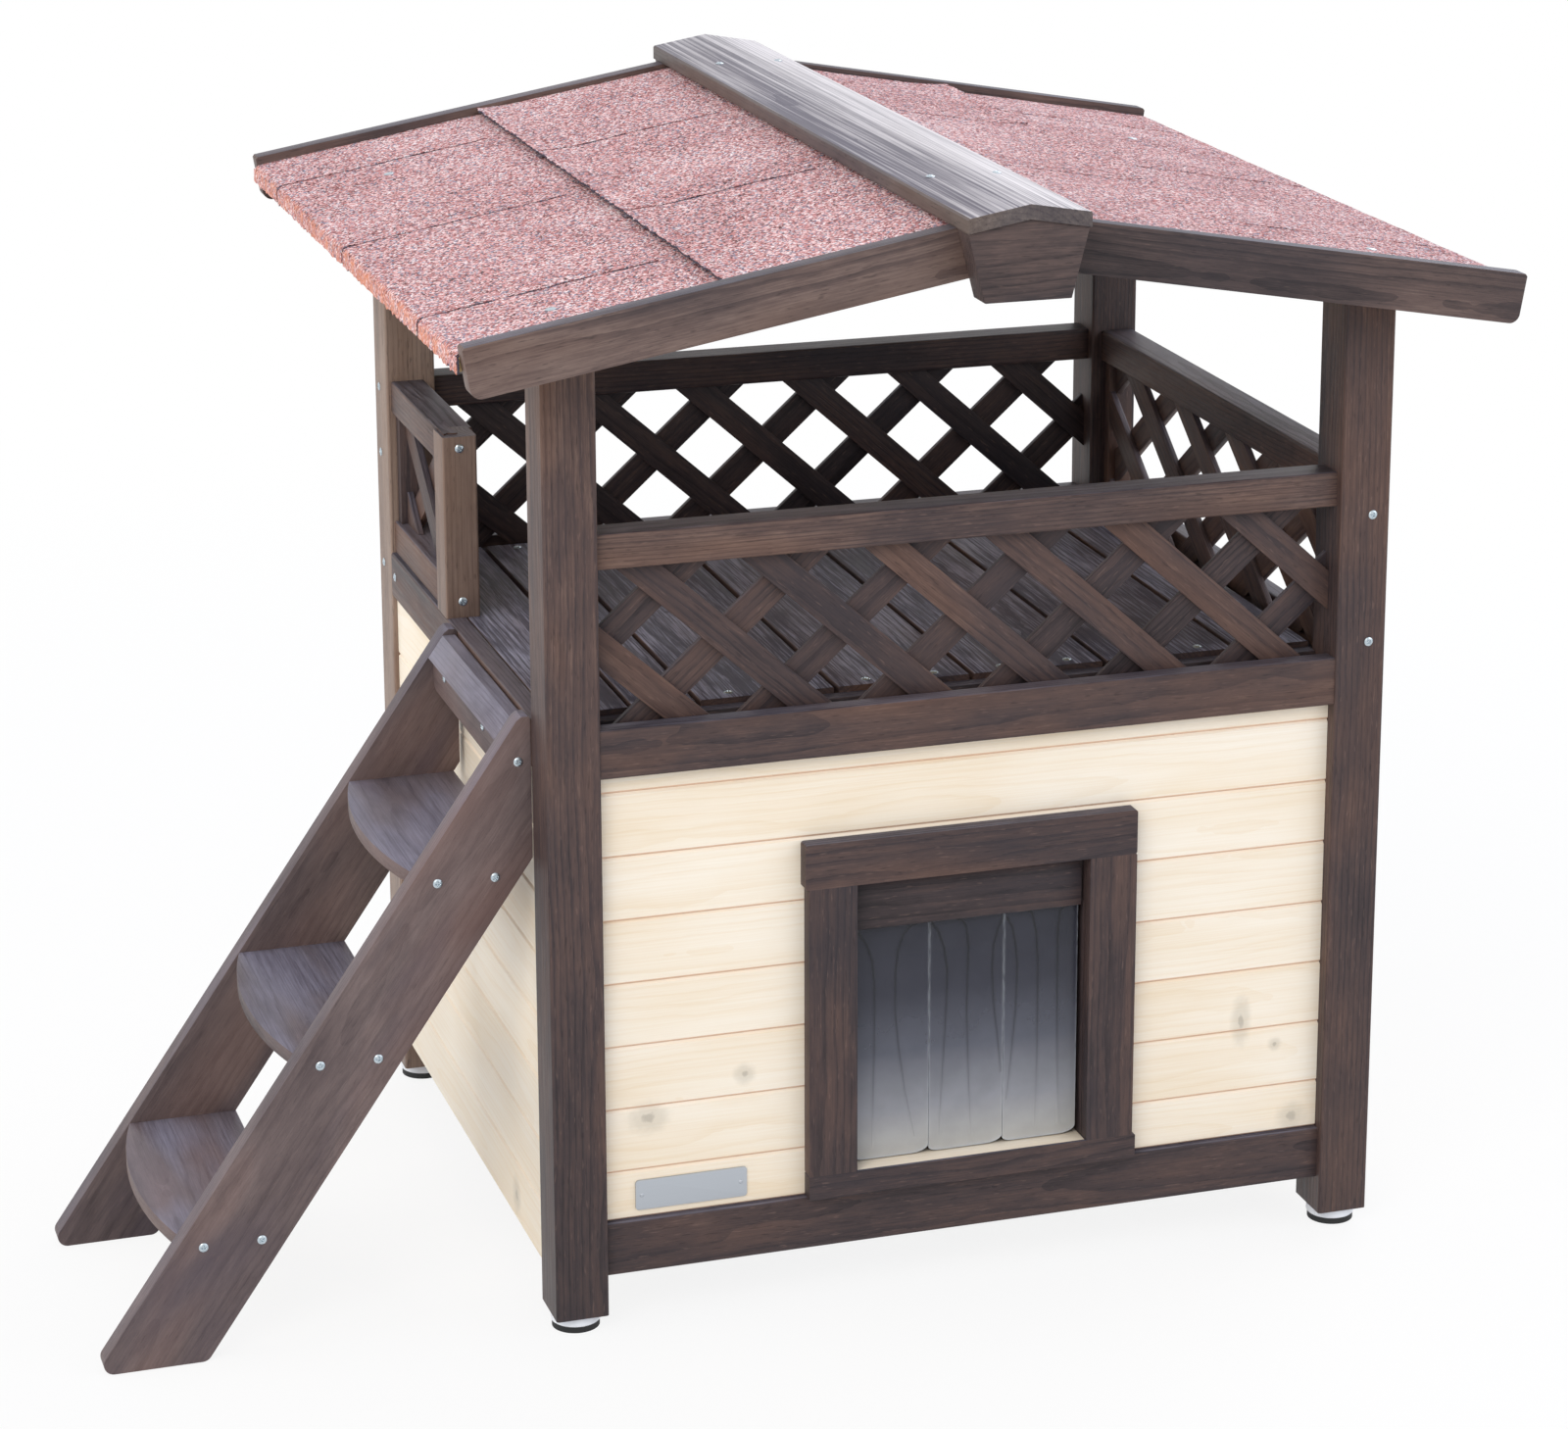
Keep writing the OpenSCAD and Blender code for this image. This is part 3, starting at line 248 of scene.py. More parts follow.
grainNoises = (  # name, spots a metre along and across the grain, detail, roughness
    ("wander", 2.6, 10, 2.0, 0.5), ("patches", 4, 15, 2.0, 0.5), ("blotches", 30, 120, 3.0, 0.65))
oneRing = 0.314  # the wave texture's scale for one ring a metre
ringMiddle = 0.3  # mean of the ring pattern; the noises lie around a half


def woodGrain(add, look):
    place = add("Attribute", {"attribute_name": "woodPlace"}).outputs["Vector"]
    piece = add("Attribute", {"attribute_name": "piece"}).outputs["Fac"]
    fine = ("fibres", 1000 / look["fibreLength"], 1000 / look["fibre"], 3.0, 0.6)
    grain = {"place": place, "piece": piece}
    for name, along, across, detail, roughness in (*grainNoises, fine):
        scaled = add("Mapping", {"Scale": (along, across, across)}, {"Vector": place})
        grain[name] = add("TexNoise", {
            "Scale": 1.0, "Detail": detail, "Roughness": roughness}, {"Vector": scaled})
    centred = add("VectorMath", {"operation": "SUBTRACT", 1: (0.5, 0.5, 0.5)},
                  {0: grain["wander"].outputs["Color"]})
    sized = add("VectorMath", {"operation": "SCALE", "Scale": look["wander"] * mm}, {0: centred})
    bent = add("VectorMath", {"operation": "ADD"}, {0: place, 1: sized})
    rings = add("TexWave", {
        "wave_type": "RINGS", "rings_direction": "X", "wave_profile": "SAW",
        "Scale": oneRing / (look["ring"] * mm), "Distortion": 1.4, "Detail": 2.0,
        "Detail Scale": 0.35}, {"Vector": bent})
    grain["rings"] = add("MapRange", {  # the dark thin part of each growth ring
        "interpolation_type": "SMOOTHSTEP", "From Min": 0.55}, {"Value": rings.outputs["Fac"]})
    cells = add("Mapping", {"Scale": (1 / 0.27, 1 / 0.2, 1 / 0.2)}, {"Vector": bent})
    knotCells = add("TexVoronoi", {"Scale": 1.0}, {"Vector": cells})
    kind = add("SeparateColor", {}, {0: knotCells.outputs["Color"]})
    some = add("Math", {"operation": "LESS_THAN", 1: look["knotShare"]}, {0: kind})
    near = add("MapRange", {
        "interpolation_type": "SMOOTHSTEP", "From Min": 0.1, "From Max": 0.05},
        {"Value": knotCells.outputs["Distance"]})
    grain["knots"] = add("Math", {"operation": "MULTIPLY"}, {0: some, 1: near})
    return grain


def blended(add, parts):
    # weighted sum of values, each less its middle, around a half
    total = None
    for source, weight, middle in parts:
        centred = add("Math", {"operation": "SUBTRACT", 1: middle}, {0: source})
        total = add("Math", {"operation": "MULTIPLY_ADD", 1: weight, 2: 0.5},
                    {0: centred, 2: total} if total else {0: centred})
    return total


def grainBlend(add, grain, **weights):
    return blended(add, [(grain[key], weight, ringMiddle if key == "rings" else 0.5)
                         for key, weight in weights.items()])


colourMix = {"data_type": "RGBA"}  # what a Mix node needs to blend colours


def laidOver(add, base, code, source, low=0.0, high=1.0, share=1.0, smooth=False):
    # one colour over another, up to a share, as the source goes from low to high
    amount = add("MapRange", {
        "interpolation_type": "SMOOTHSTEP" if smooth else "LINEAR",
        "From Min": low, "From Max": high, "To Max": share}, {"Value": source})
    return add("Mix", {**colourMix, 7: code}, {0: amount, 6: base}).outputs[2]


stain = {
    "ring": 4.0, "wander": 15.0,  # mm between growth rings, and how far they wander
    "fibre": 1.3, "fibreLength": 60.0,  # mm; real fibres are finer, drawn coarser to show
    "knotShare": 0.3,
    "stops": [(0.06, "#272123"), (0.33, "#3e3435"), (0.6, "#574540"), (0.95, "#826a5e")],
    "reddish": "#5f4335", "sooty": "#2e2b31", "knot": "#221a19",
    "fleck": "#8a7064", "fleckShare": 0.24, "pit": "#1d181a", "pitShare": 0.4,
    "flecks": (75, 620, 620),  # spots a metre, along and across the grain
    # the grey laid over upward faces: rain weathering together with a painted sky sheen
    "weatheredAndSheen": "#3a3740", "weatheredAndSheenPale": "#6a6874",
    # from which to which upward slope it turns grey, rain weathering with a painted sky sheen, how
    # much of it, and how patchily
    "topFrom": 0.55, "topFull": 0.95, "topShare": 0.9, "topPatchy": 0.3,
    "bleachFrom": 0.4, "bleachTo": 0.68,
    # weight of fibres, growth rings, patches and blotches
    "streak": 0.5, "rings": 0.18, "patch": 0.8, "blotch": 0.42,
    # the same where bleached, and how much paler the right-facing side is painted, a painted sheen
    "wornStreak": 0.9, "wornPatch": 0.6, "rightSheen": 0.0,
}


def stainedFir(name, look):
    # Planed fir under a brown oil glaze: dark and satin, the grain shows, pale grey on top where
    # rain lies, with a painted sky sheen in that grey
    made, add, shader = newMaterial(name)
    grain = woodGrain(add, look)
    tone = grainBlend(add, grain, fibres=look["streak"], rings=-look["rings"],
                      patches=look["patch"], piece=0.62, blotches=look["blotch"])
    brown = add("ValToRGB", {"stops": look["stops"]}, {0: tone})
    blots = add("SeparateColor", {}, {0: grain["patches"].outputs["Color"]})
    ruddy = add("MapRange", {"From Min": 0.47, "From Max": 0.68, "To Max": 0.75}, {"Value": blots})
    thin = add("MapRange", {"From Min": 0.25, "From Max": 0.6}, {"Value": grain["piece"]})
    redness = add("Math", {"operation": "MULTIPLY"}, {0: ruddy, 1: thin})
    short = add("Mapping", {"Scale": look["flecks"]}, {"Vector": grain["place"]})
    flecks = add("TexNoise", {"Scale": 1.0, "Detail": 1.0}, {"Vector": short})
    for code, source, low, high, share in (
            (look["reddish"], redness, 0, 1, 1), (look["sooty"], blots.outputs[1], 0.52, 0.72, 0.6),
            (look["fleck"], flecks, 0.66, 0.76, look["fleckShare"]),
            (look["pit"], flecks, 0.36, 0.27, look["pitShare"]),
            (look["knot"], grain["knots"], 0, 1, 0.75)):
        brown = laidOver(add, brown, code, source, low, high, share)
    # upward faces take the grey, partly rain weathering, partly a painted reflection of the sky
    facing = add("SeparateXYZ", {}, {0: add("NewGeometry").outputs["Normal"]})
    upward = add("MapRange", {
        "interpolation_type": "SMOOTHSTEP", "From Min": look["topFrom"],
        "From Max": look["topFull"], "To Max": look["topShare"]}, {"Value": facing.outputs["Z"]})
    greyPatches = add("MapRange", {
        "From Min": 0.42, "From Max": 0.58, "To Min": 1 - look["topPatchy"]},
        {"Value": blots.outputs[2]})
    upward = add("Math", {"operation": "MULTIPLY"}, {0: upward, 1: greyPatches})
    wornAndSheen = grainBlend(add, grain, fibres=look["wornStreak"], rings=-look["rings"],
                      patches=look["wornPatch"], blotches=look["wornPatch"] / 2)
    # painted sheen: faces turned to the right are painted paler
    wornAndSheen = add("Math", {"operation": "MULTIPLY_ADD", 1: look["rightSheen"]},
               {0: facing.outputs["X"], 2: wornAndSheen})
    # the pale share of the grey is bleaching and painted sheen together
    bleached = add("MapRange", {
        "From Min": look["bleachFrom"], "From Max": look["bleachTo"]}, {"Value": wornAndSheen})
    grey = add("Mix", {**colourMix, 6: look["weatheredAndSheen"], 7: look["weatheredAndSheenPale"]},
               {0: bleached}).outputs[2]
    colour = add("Mix", colourMix, {0: upward, 6: brown, 7: grey}).outputs[2]
    gloss = add("MapRange", {"From Min": 0.3, "From Max": 0.7, "To Min": 0.4,
                             "To Max": 0.6}, {"Value": grain["fibres"]})
    height = grainBlend(add, grain, fibres=0.8, rings=-0.3, blotches=0.4)
    bump = add("Bump", {"Strength": 0.45, "Distance": 0.0007}, {"Height": height})
    # open pores break up the shine
    setNode(shader, {"IOR": 1.48, "Specular IOR Level": 0.28},
            {"Base Color": colour, "Roughness": gloss, "Normal": bump})
    return made


glaze = {
    "ring": 3.4, "wander": 20.0, "fibre": 1.6, "fibreLength": 120.0, "knotShare": 0.0,
    "stops": [(0.15, "#ead6b6"), (0.42, "#f0e1c9"), (0.65, "#f4e9d6"), (0.95, "#f9f1e3")],
    "downBevelShade": "#dfb497", "knotColour": "#bbb2a0", "knotHeart": "#8d8578",
    "knots": [  # x, y, z of each knot on the boards, and its half width and half height in mm
        (-204, -306.5, 214, 6, 6), (-289, -306.5, 185, 12, 9), (254, -306.5, 205, 6, 15),
        (287, -306.5, 179, 4, 4), (305, -306.5, 107.5, 9, 9), (-370.5, -165, 66, 9, 11),
        (-370.5, 120, 350, 7, 6), (370.5, 60, 210, 9, 7), (370.5, -170, 352, 6, 5),
        (120, 306.5, 264, 9, 7), (-210, 306.5, 404, 7, 5),
    ],
}


def creamGlaze(name, look):
    # Fir boards under a cream glaze: silky, faint grain and knots show, with a pinkish brown
    # painted shade on the groove bevels that face down
    made, add, shader = newMaterial(name)
    grain = woodGrain(add, look)
    tone = grainBlend(add, grain, fibres=0.55, rings=-0.14, patches=0.9, piece=0.25)
    colour = add("ValToRGB", {"stops": look["stops"]}, {0: tone})
    where = add("TexCoord").outputs["Object"]
    edge = add("TexNoise", {"Scale": 140.0, "Detail": 3.0}, {"Vector": where})  # 7 mm
    ragged = add("MapRange", {"To Min": -0.45, "To Max": 0.45}, {"Value": edge})
    for x, y, z, wide, high in look["knots"]:
        middle = Vector((x, y, z)) * mm + houseMiddle
        sized = (1 / (wide * mm), 1 / (wide * mm), 1 / (high * mm))
        moved = add("VectorMath", {"operation": "SUBTRACT", 1: tuple(middle)}, {0: where})
        rounded = add("VectorMath", {"operation": "MULTIPLY", 1: sized}, {0: moved})
        far = add("VectorMath", {"operation": "LENGTH"}, {0: rounded}).outputs["Value"]
        uneven = add("Math", {"operation": "ADD"}, {0: far, 1: ragged})
        colour = laidOver(add, colour, look["knotColour"], uneven, 2.1, 0.7, 0.42, True)
        colour = laidOver(add, colour, look["knotHeart"], uneven, 0.6, 0.25, 0.4, True)
    facing = add("SeparateXYZ", {}, {0: add("NewGeometry").outputs["Normal"]})
    # painted shade: pinkish brown on bevels that face down
    colour = laidOver(add, colour, look["downBevelShade"], facing.outputs["Z"], -0.25, -0.6, 0.75)
    height = grainBlend(add, grain, fibres=0.6, rings=-0.3)
    bump = add("Bump", {"Strength": 0.25, "Distance": 0.0004}, {"Height": height})
    setNode(shader, {"Roughness": 0.5, "IOR": 1.48}, {"Base Color": colour, "Normal": bump})
    return made


bareWood = {
    "ring": 3.2, "wander": 14.0, "fibre": 1.3, "fibreLength": 90.0, "knotShare": 0.25,
    "stops": [(0.2, "#b08a5c"), (0.5, "#cfae7f"), (0.85, "#e2c79c")], "knot": "#6d4a2d",
}


def bareFir(name, look):
    # Sawn fir without finish: pale, matt, fuzzy fibres
    made, add, shader = newMaterial(name)
    grain = woodGrain(add, look)
    tone = grainBlend(add, grain, fibres=0.7, rings=-0.3, patches=0.5, piece=0.2)
    colour = add("ValToRGB", {"stops": look["stops"]}, {0: tone})
    colour = laidOver(add, colour, look["knot"], grain["knots"])
    height = grainBlend(add, grain, fibres=0.9, rings=-0.3)
    bump = add("Bump", {"Strength": 0.4, "Distance": 0.0006}, {"Height": height})
    setNode(shader, {"Roughness": 0.78}, {"Base Color": colour, "Normal": bump})
    return made


ply = {"fibre": 1.6, "fibreLength": 160.0, "figure": 26.0,  # mm
       "stops": [(0.25, "#b5925f"), (0.5, "#cdae7c"), (0.8, "#dfc598")]}


def birchPly(name, look):
    # Peeled and sanded plywood: flat even figure, dull
    made, add, shader = newMaterial(name)
    where = add("TexCoord").outputs["Object"]
    across, wide = 1000 / look["fibre"], 1000 / look["figure"]
    fine = add("Mapping", {"Scale": (1000 / look["fibreLength"], across, across)},
               {"Vector": where})
    fibres = add("TexNoise", {"Scale": 1.0, "Detail": 3.0}, {"Vector": fine})
    broad = add("Mapping", {"Scale": (wide / 8, wide, wide)}, {"Vector": where})
    figure = add("TexNoise", {"Scale": 1.0, "Detail": 2.0, "Distortion": 1.2}, {"Vector": broad})
    tone = blended(add, [(fibres, 0.7, 0.5), (figure, 1.0, 0.5)])
    colour = add("ValToRGB", {"stops": look["stops"]}, {0: tone})
    bump = add("Bump", {"Strength": 0.2, "Distance": 0.0003}, {"Height": fibres})
    setNode(shader, {"Roughness": 0.68}, {"Base Color": colour, "Normal": bump})
    return made


timber = stainedFir("brown glazed fir", stain)
edgeLook = {
    **stain, "reddish": "#5c463d", "fleckShare": 0.16,
    "stops": [(0.06, "#292325"), (0.33, "#443938"), (0.6, "#61504b"), (0.95, "#8b776d")]}
edgeTimber = stainedFir("brown fir, rain grey with painted sky sheen on top", edgeLook)
# a lighter copy of the brown glaze: painted light, as on the back left post
litCopyTimber = stainedFir("brown fir painted lighter, a lit copy", {
    **edgeLook, "reddish": "#745c4e",
    "stops": [(0.06, "#2d2725"), (0.33, "#54463f"), (0.6, "#75635a"), (0.95, "#9a8678")]})
stairLook = {
    **stain, "streak": 0.3, "rings": 0.1, "patch": 1.3, "blotch": 0.5, "fleckShare": 0.15,
    "knotShare": 0.6, "pitShare": 0.2, "reddish": "#634a44", "sooty": "#48404a",
    "stops": [(0.1, "#352b2d"), (0.38, "#554949"), (0.65, "#6b5d5b"), (0.95, "#8a7975")],
    "topFrom": 0.42, "topShare": 0.95, "topPatchy": 0.7,
    "weatheredAndSheen": "#5e5a68", "weatheredAndSheenPale": "#8d8a9b", "bleachFrom": 0.25, "bleachTo": 0.8}
stairTimber = stainedFir("planed glazed fir", stairLook)
# the top plank's slope takes more of the pale grey top colour: painted light on a part that lies in
# shade here
plankTimber = stainedFir("glazed fir, rain grey with painted light on its slope", {
    **stairLook, "topFrom": 0.05, "topFull": 0.6, "topPatchy": 0.3,
    "weatheredAndSheen": "#625f6d", "weatheredAndSheenPale": "#9795a6"})
# pale streaks on the deck tops: weathering, with painted patches of sunlight
deckTimber = stainedFir("glazed fir, rain grey with painted sun patches", {
    **stain, "fibre": 1.8, "topShare": 0.95, "wornStreak": 1.2,
    "weatheredAndSheen": "#454252", "weatheredAndSheenPale": "#a2a2b6", "bleachFrom": 0.44, "bleachTo": 0.8})
capTimber = stainedFir("rain washed fir with painted sheen on its right side", {
    **edgeLook, "fibre": 3.0, "fibreLength": 420.0, "ring": 5.0, "rings": 0.1, "wander": 4.0,
    "knotShare": 0.0, "reddish": "#57483f",
    "stops": [(0.06, "#2b2829"), (0.33, "#484143"), (0.6, "#625956"), (0.95, "#8b807a")],
    # the right-facing side painted much paler, a painted sky sheen
    "topShare": 1.0, "topPatchy": 0.1, "wornStreak": 1.7, "wornPatch": 0.2, "rightSheen": 1.5,
    "weatheredAndSheen": "#5f5b66", "weatheredAndSheenPale": "#e0dada", "bleachFrom": 0.2, "bleachTo": 0.84})
creamBoards = creamGlaze("cream glazed fir", glaze)
plainFir = bareFir("sawn fir", bareWood)
plywood = birchPly("sanded birch plywood", ply)
print("wood materials ready")


# Timbers: the frame's solids with eased arrises, and a place in the log for each board

def looseParts(bm):
    seen, parts = set(), []
    for start in bm.verts:
        if start in seen:
            continue
        seen.add(start)
        stack, part = [start], []
        while stack:
            vert = stack.pop()
            part.append(vert)
            for edge in vert.link_edges:
                other = edge.other_vert(vert)
                if other not in seen:
                    seen.add(other)
                    stack.append(other)
        parts.append(part)
    return parts


def grainAxes(part, choices):
    edges = list(dict.fromkeys(e for v in part for e in v.link_edges))
    faces = list(dict.fromkeys(f for v in part for f in v.link_faces))
    if choices:
        def covered(way):
            return sum(e.calc_length() for e in edges
                       if abs((e.verts[1].co - e.verts[0].co).normalized().dot(way)) > 0.999)
        along = max((Vector(c).normalized() for c in choices), key=covered)
    else:
        longest = max(edges, key=lambda e: round(e.calc_length(), 5))
        along = (longest.verts[1].co - longest.verts[0].co).normalized()
        if max(along, key=abs) < 0:
            along = -along
    sides = [f for f in faces if abs(f.normal.dot(along)) < 0.2]
    flat = max(sides or faces, key=lambda f: round(f.calc_area(), 7)).normal
    across = flat.cross(along).normalized()
    return along, across, along.cross(across)


def markWood(bm, choices=None, tone=(0.3, 0.7)):
    placeLayer = bm.verts.layers.float_vector.new("woodPlace")
    pieceLayer = bm.verts.layers.float.new("piece")
    for part in looseParts(bm):
        middle = sum((v.co for v in part), Vector()) / len(part)
        along, across, flat = grainAxes(part, choices)
        key = [round(c / (2 * mm)) for c in middle]
        luck = random.Random(key[0] * 7919 + key[1] * 104729 + key[2] * 1299709)
        start = Vector((luck.uniform(0, 12), luck.uniform(-0.03, 0.03),
                        luck.choice((-1, 1)) * luck.uniform(0.025, 0.07)))
        dark, pale, *foot = tone(middle) if callable(tone) else tone
        shade = luck.uniform(dark, pale)
        levels = [v.co.z for v in part]
        bottom, tall = min(levels), max(levels) - min(levels)
        for vert in part:
            away = vert.co - middle
            vert[placeLayer] = start + Vector((away.dot(along), away.dot(across), away.dot(flat)))
            vert[pieceLayer] = shade - sum(foot) * (1 - (vert.co.z - bottom) / tall)


def solidsOf(nodes):
    bm = bmesh.new()
    for node in nodes:
        bm.from_mesh(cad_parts[node].data)
    bmesh.ops.remove_doubles(bm, verts=bm.verts, dist=0.004 * mm)
    bmesh.ops.dissolve_limit(bm, angle_limit=radians(0.6), verts=bm.verts, edges=bm.edges)
    for face in bm.faces:
        face.material_index = 0
    return bm


def easeArrises(bm, width, angle=50, shortest=4.0):
    sharp = [e for e in bm.edges if len(e.link_faces) == 2
             and e.calc_face_angle(0) > radians(angle) and e.calc_length() > shortest * mm]
    bmesh.ops.bevel(bm, geom=sharp, offset=width * mm, segments=2, profile=0.5,
                    affect="EDGES", clamp_overlap=True)


def addTimber(name, nodes, material=timber, ease=0.7, choices=None,
              tone=(0.35, 0.65)):
    bm = solidsOf(nodes)
    if ease:
        easeArrises(bm, ease)
    bm.normal_update()
    markWood(bm, choices, tone)
    markEdges(bm)
    return addPiece(name, bm, material, "house", nodes)


slatSlope = {"front": 42.0, "side": 36.0}  # degrees
# nodes, and from what to what the glaze goes: 0 dark, 1 pale, then how much darker its foot is
frameTimbers = {
    "postFrontLeft": (["post_front_left"], (0.78, 0.82, 0.56)),
    "postFrontRight": (["post_front_right"], (0.5, 0.54, 0.2)),
    # painted light: the back left post is painted at the palest, standing in for light that falls
    # on it
    "postBackLeft": (["post_back_left"], (0.96, 1.0)),
    "postBackRight": (["post_back_right"], (0.3, 0.34)),
    "bottomRails": (["lower_rails"], (0.3, 0.36)),
    "beltRails": (["belt_front", "belt_back", "side_belts"], (0.38, 0.46)),
    "rightFenceRail": (["right_fence_rail"], (0.45, 0.5)),
    "leftFenceRails": (["left_fence_rails"], (0.6, 0.7)),
    "leftFenceEndPost": (["left_fence_end_post"], (0.58, 0.62)),
    "fenceStiles": (["fence_stiles"], (0.45, 0.6)),
    "doorHead": (["door_head"], (0.44, 0.48)), "doorJambs": (["door_jambs"], (0.3, 0.36)),
    "doorSill": (["door_sill"], (0.28, 0.32)), "doorLining": (["door_frame"], (0.25, 0.35)),
    "flapHeader": (["flap_header"], (0.2, 0.24)),
}
# parts that take the lighter copy; on the back left post it is painted light
litCopyParts = ("postBackLeft", "leftFenceEndPost")
glazeDepth = {  # the same for timbers that differ within a piece
    "front": {"handrails": (0.7, 0.76), "bargeLeft": (0.7, 0.74), "bargeRight": (0.24, 0.28)},
    "back": {"handrails": (0.3, 0.36), "bargeLeft": (0.5, 0.54), "bargeRight": (0.4, 0.44)},
    "stringers": {"front": (0.7, 0.76), "back": (0.45, 0.5)},
    # the outer slats' middles are in front of this, in mm behind the house's middle
    "slats": {"outer": (0.42, 0.56), "inner": (0.3, 0.42), "outerTo": -292.8},
}
glazedAbove = 490  # mm, the joists under the deck


def handrailGlaze(middle):
    return glazeDepth["front" if middle.y < houseMiddle.y else "back"]["handrails"]


def bargeGlaze(middle):
    end = "front" if middle.y < houseMiddle.y else "back"
    return glazeDepth[end]["bargeLeft" if middle.x < houseMiddle.x else "bargeRight"]


def stringerGlaze(middle):
    low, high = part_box("stair_stringers")
    return glazeDepth["stringers"]["front" if middle.y < (low.y + high.y) / 2 else "back"]


def slatGlaze(middle):
    slats = glazeDepth["slats"]
    return slats["outer" if middle.y < houseMiddle.y + slats["outerTo"] * mm else "inner"]


for name, (nodes, tone) in frameTimbers.items():
    addTimber(name, nodes, litCopyTimber if name in litCopyParts else timber, tone=tone)
for name, node, material, tone in (
        ("ridgeBlocks", "ridge_blocks", edgeTimber, (0.34, 0.38)),
        ("handrails", "handrails", timber, handrailGlaze),
        ("bargeBoards", "barge_boards", edgeTimber, bargeGlaze),
        ("stairStringers", "stair_stringers", stairTimber, stringerGlaze),
        ("stairTopPlank", "stair_top_plank", plankTimber, (0.5, 0.6)),
        ("stairTreads", "stair_treads", stairTimber, (0.5, 0.7)),
        ("stairFixingBoard", "stair_fixing_board", stairTimber, (0.5, 0.7))):
    addTimber(name, [node], material, tone=tone)
a = radians(slatSlope["front"])
for name, node, tone in (("frontLattice", "lattice_front", slatGlaze),
                         ("backLattice", "lattice_back", (0.1, 0.25))):
    ways = [(cos(a), 0, sin(a)), (cos(a), 0, -sin(a))]
    addTimber(name, [node], ease=0.4, choices=ways, tone=tone)
a = radians(slatSlope["side"])
for name, node in (("rightFenceLattice", "right_fence_lattice"),
                   ("leftFenceLattice", "left_fence_lattice")):
    addTimber(name, [node], ease=0.4, choices=[(0, cos(a), sin(a)), (0, cos(a), -sin(a))])
addTimber("ridgeCap", ["ridge_cap"], capTimber)
addTimber("deckBoards", ["deck_boards"], deckTimber)
# the threshold's down-facing bevels take a pale painted shade
addTimber("doorThreshold", ["door_threshold"], creamGlaze("cream glazed threshold", {
    **glaze, "downBevelShade": "#f1e9d8", "knots": []}))
addTimber("roofTimbers", ["roof_frame"])
battens = addTimber("innerBattens", ["inner_battens"], plainFir, tone=(0.1, 0.2))
battens.data.materials.append(timber)
for face in battens.data.polygons:
    face.material_index = 1 if face.center.z > glazedAbove * mm else 0
for side in ("front", "back", "left", "right"):
    addTimber(side + "Boards", [side + "_boards"], creamBoards, ease=0)
print("timbers dressed")


# Zinc plated screws with a cross recess

zinc = {"colour": "#dde3e7", "tint": "#93a8b6"}
screwShape = {  # mm, the head's radius first
    "head": 3.95, "headHeight": 1.6, "rim": 0.5, "crossReach": 2.4, "crossWidth": 1.1,
    "crossDepth": 1.4, "wallAcross": 0.2, "wallAtEnds": 0.35, "shank": 1.85, "taper": 3.0,
    "fine": 0.28, "fineRings": 12, "shoulder": 3.7,
    "dome": 2.6, "flare": 1.35, "shallower": 0.25,  # power of the dome; shares of the cross
}
roundSteps = 40  # corners of a screw's outline


def zincPlate(name, look):
    # Electroplated zinc, blue passivated: bright, faintly cloudy
    made, add, shader = newMaterial(name)
    where = add("TexCoord").outputs["Object"]
    cloud = add("TexNoise", {"Scale": 700.0, "Detail": 2.0}, {"Vector": where})  # 1.4 mm
    colour = add("Mix", {**colourMix, 6: look["colour"], 7: look["tint"]}, {0: cloud})
    gloss = add("MapRange", {"To Min": 0.26, "To Max": 0.46}, {"Value": cloud})
    setNode(shader, {"Metallic": 1.0}, {"Base Color": colour.outputs[2], "Roughness": gloss})
    return made


def screwInto(bm, seat, along, length, roll, look):
    side = along.orthogonal().normalized()
    up = along.cross(side)
    x, y = cos(roll) * side + sin(roll) * up, -sin(roll) * side + cos(roll) * up
    radii = [look["fine"] * (k + 1) for k in range(look["fineRings"])]
    half, reach = look["crossWidth"] / 2 * look["flare"], look["crossReach"]

    def rise(px, py):
        r = (px * px + py * py) ** 0.5
        fall = (look["headHeight"] - look["rim"]) * (r / look["head"]) ** look["dome"]
        arm = max(min((half - abs(a)) / look["wallAcross"], (reach - abs(b)) / look["wallAtEnds"])
                  for a, b in ((px, py), (py, px)))
        depth = look["crossDepth"] * max(0.0, min(1.0, arm)) * (1 - look["shallower"] * r / reach)
        return look["headHeight"] - fall - depth

    def ring(radius, level=None):
        made = []
        for k in range(roundSteps):
            turn = 2 * pi * k / roundSteps
            px, py = radius * cos(turn), radius * sin(turn)
            z = rise(px, py) if level is None else level
            made.append(bm.verts.new(seat + (px * x + py * y - z * along) * mm))
        return made

    centre = bm.verts.new(seat - rise(0, 0) * along * mm)
    rings = [ring(r) for r in (*radii, look["shoulder"], look["head"])]
    rings += [ring(look["head"], 0.0), ring(look["shank"], 0.0),
              ring(look["shank"], look["taper"] - length)]
    tip = bm.verts.new(seat + length * along * mm)
    joinRings(bm, rings, capped=False)
    for k in range(roundSteps):
        n = (k + 1) % roundSteps
        bm.faces.new((centre, rings[0][k], rings[0][n]))
        bm.faces.new((rings[-1][n], rings[-1][k], tip))


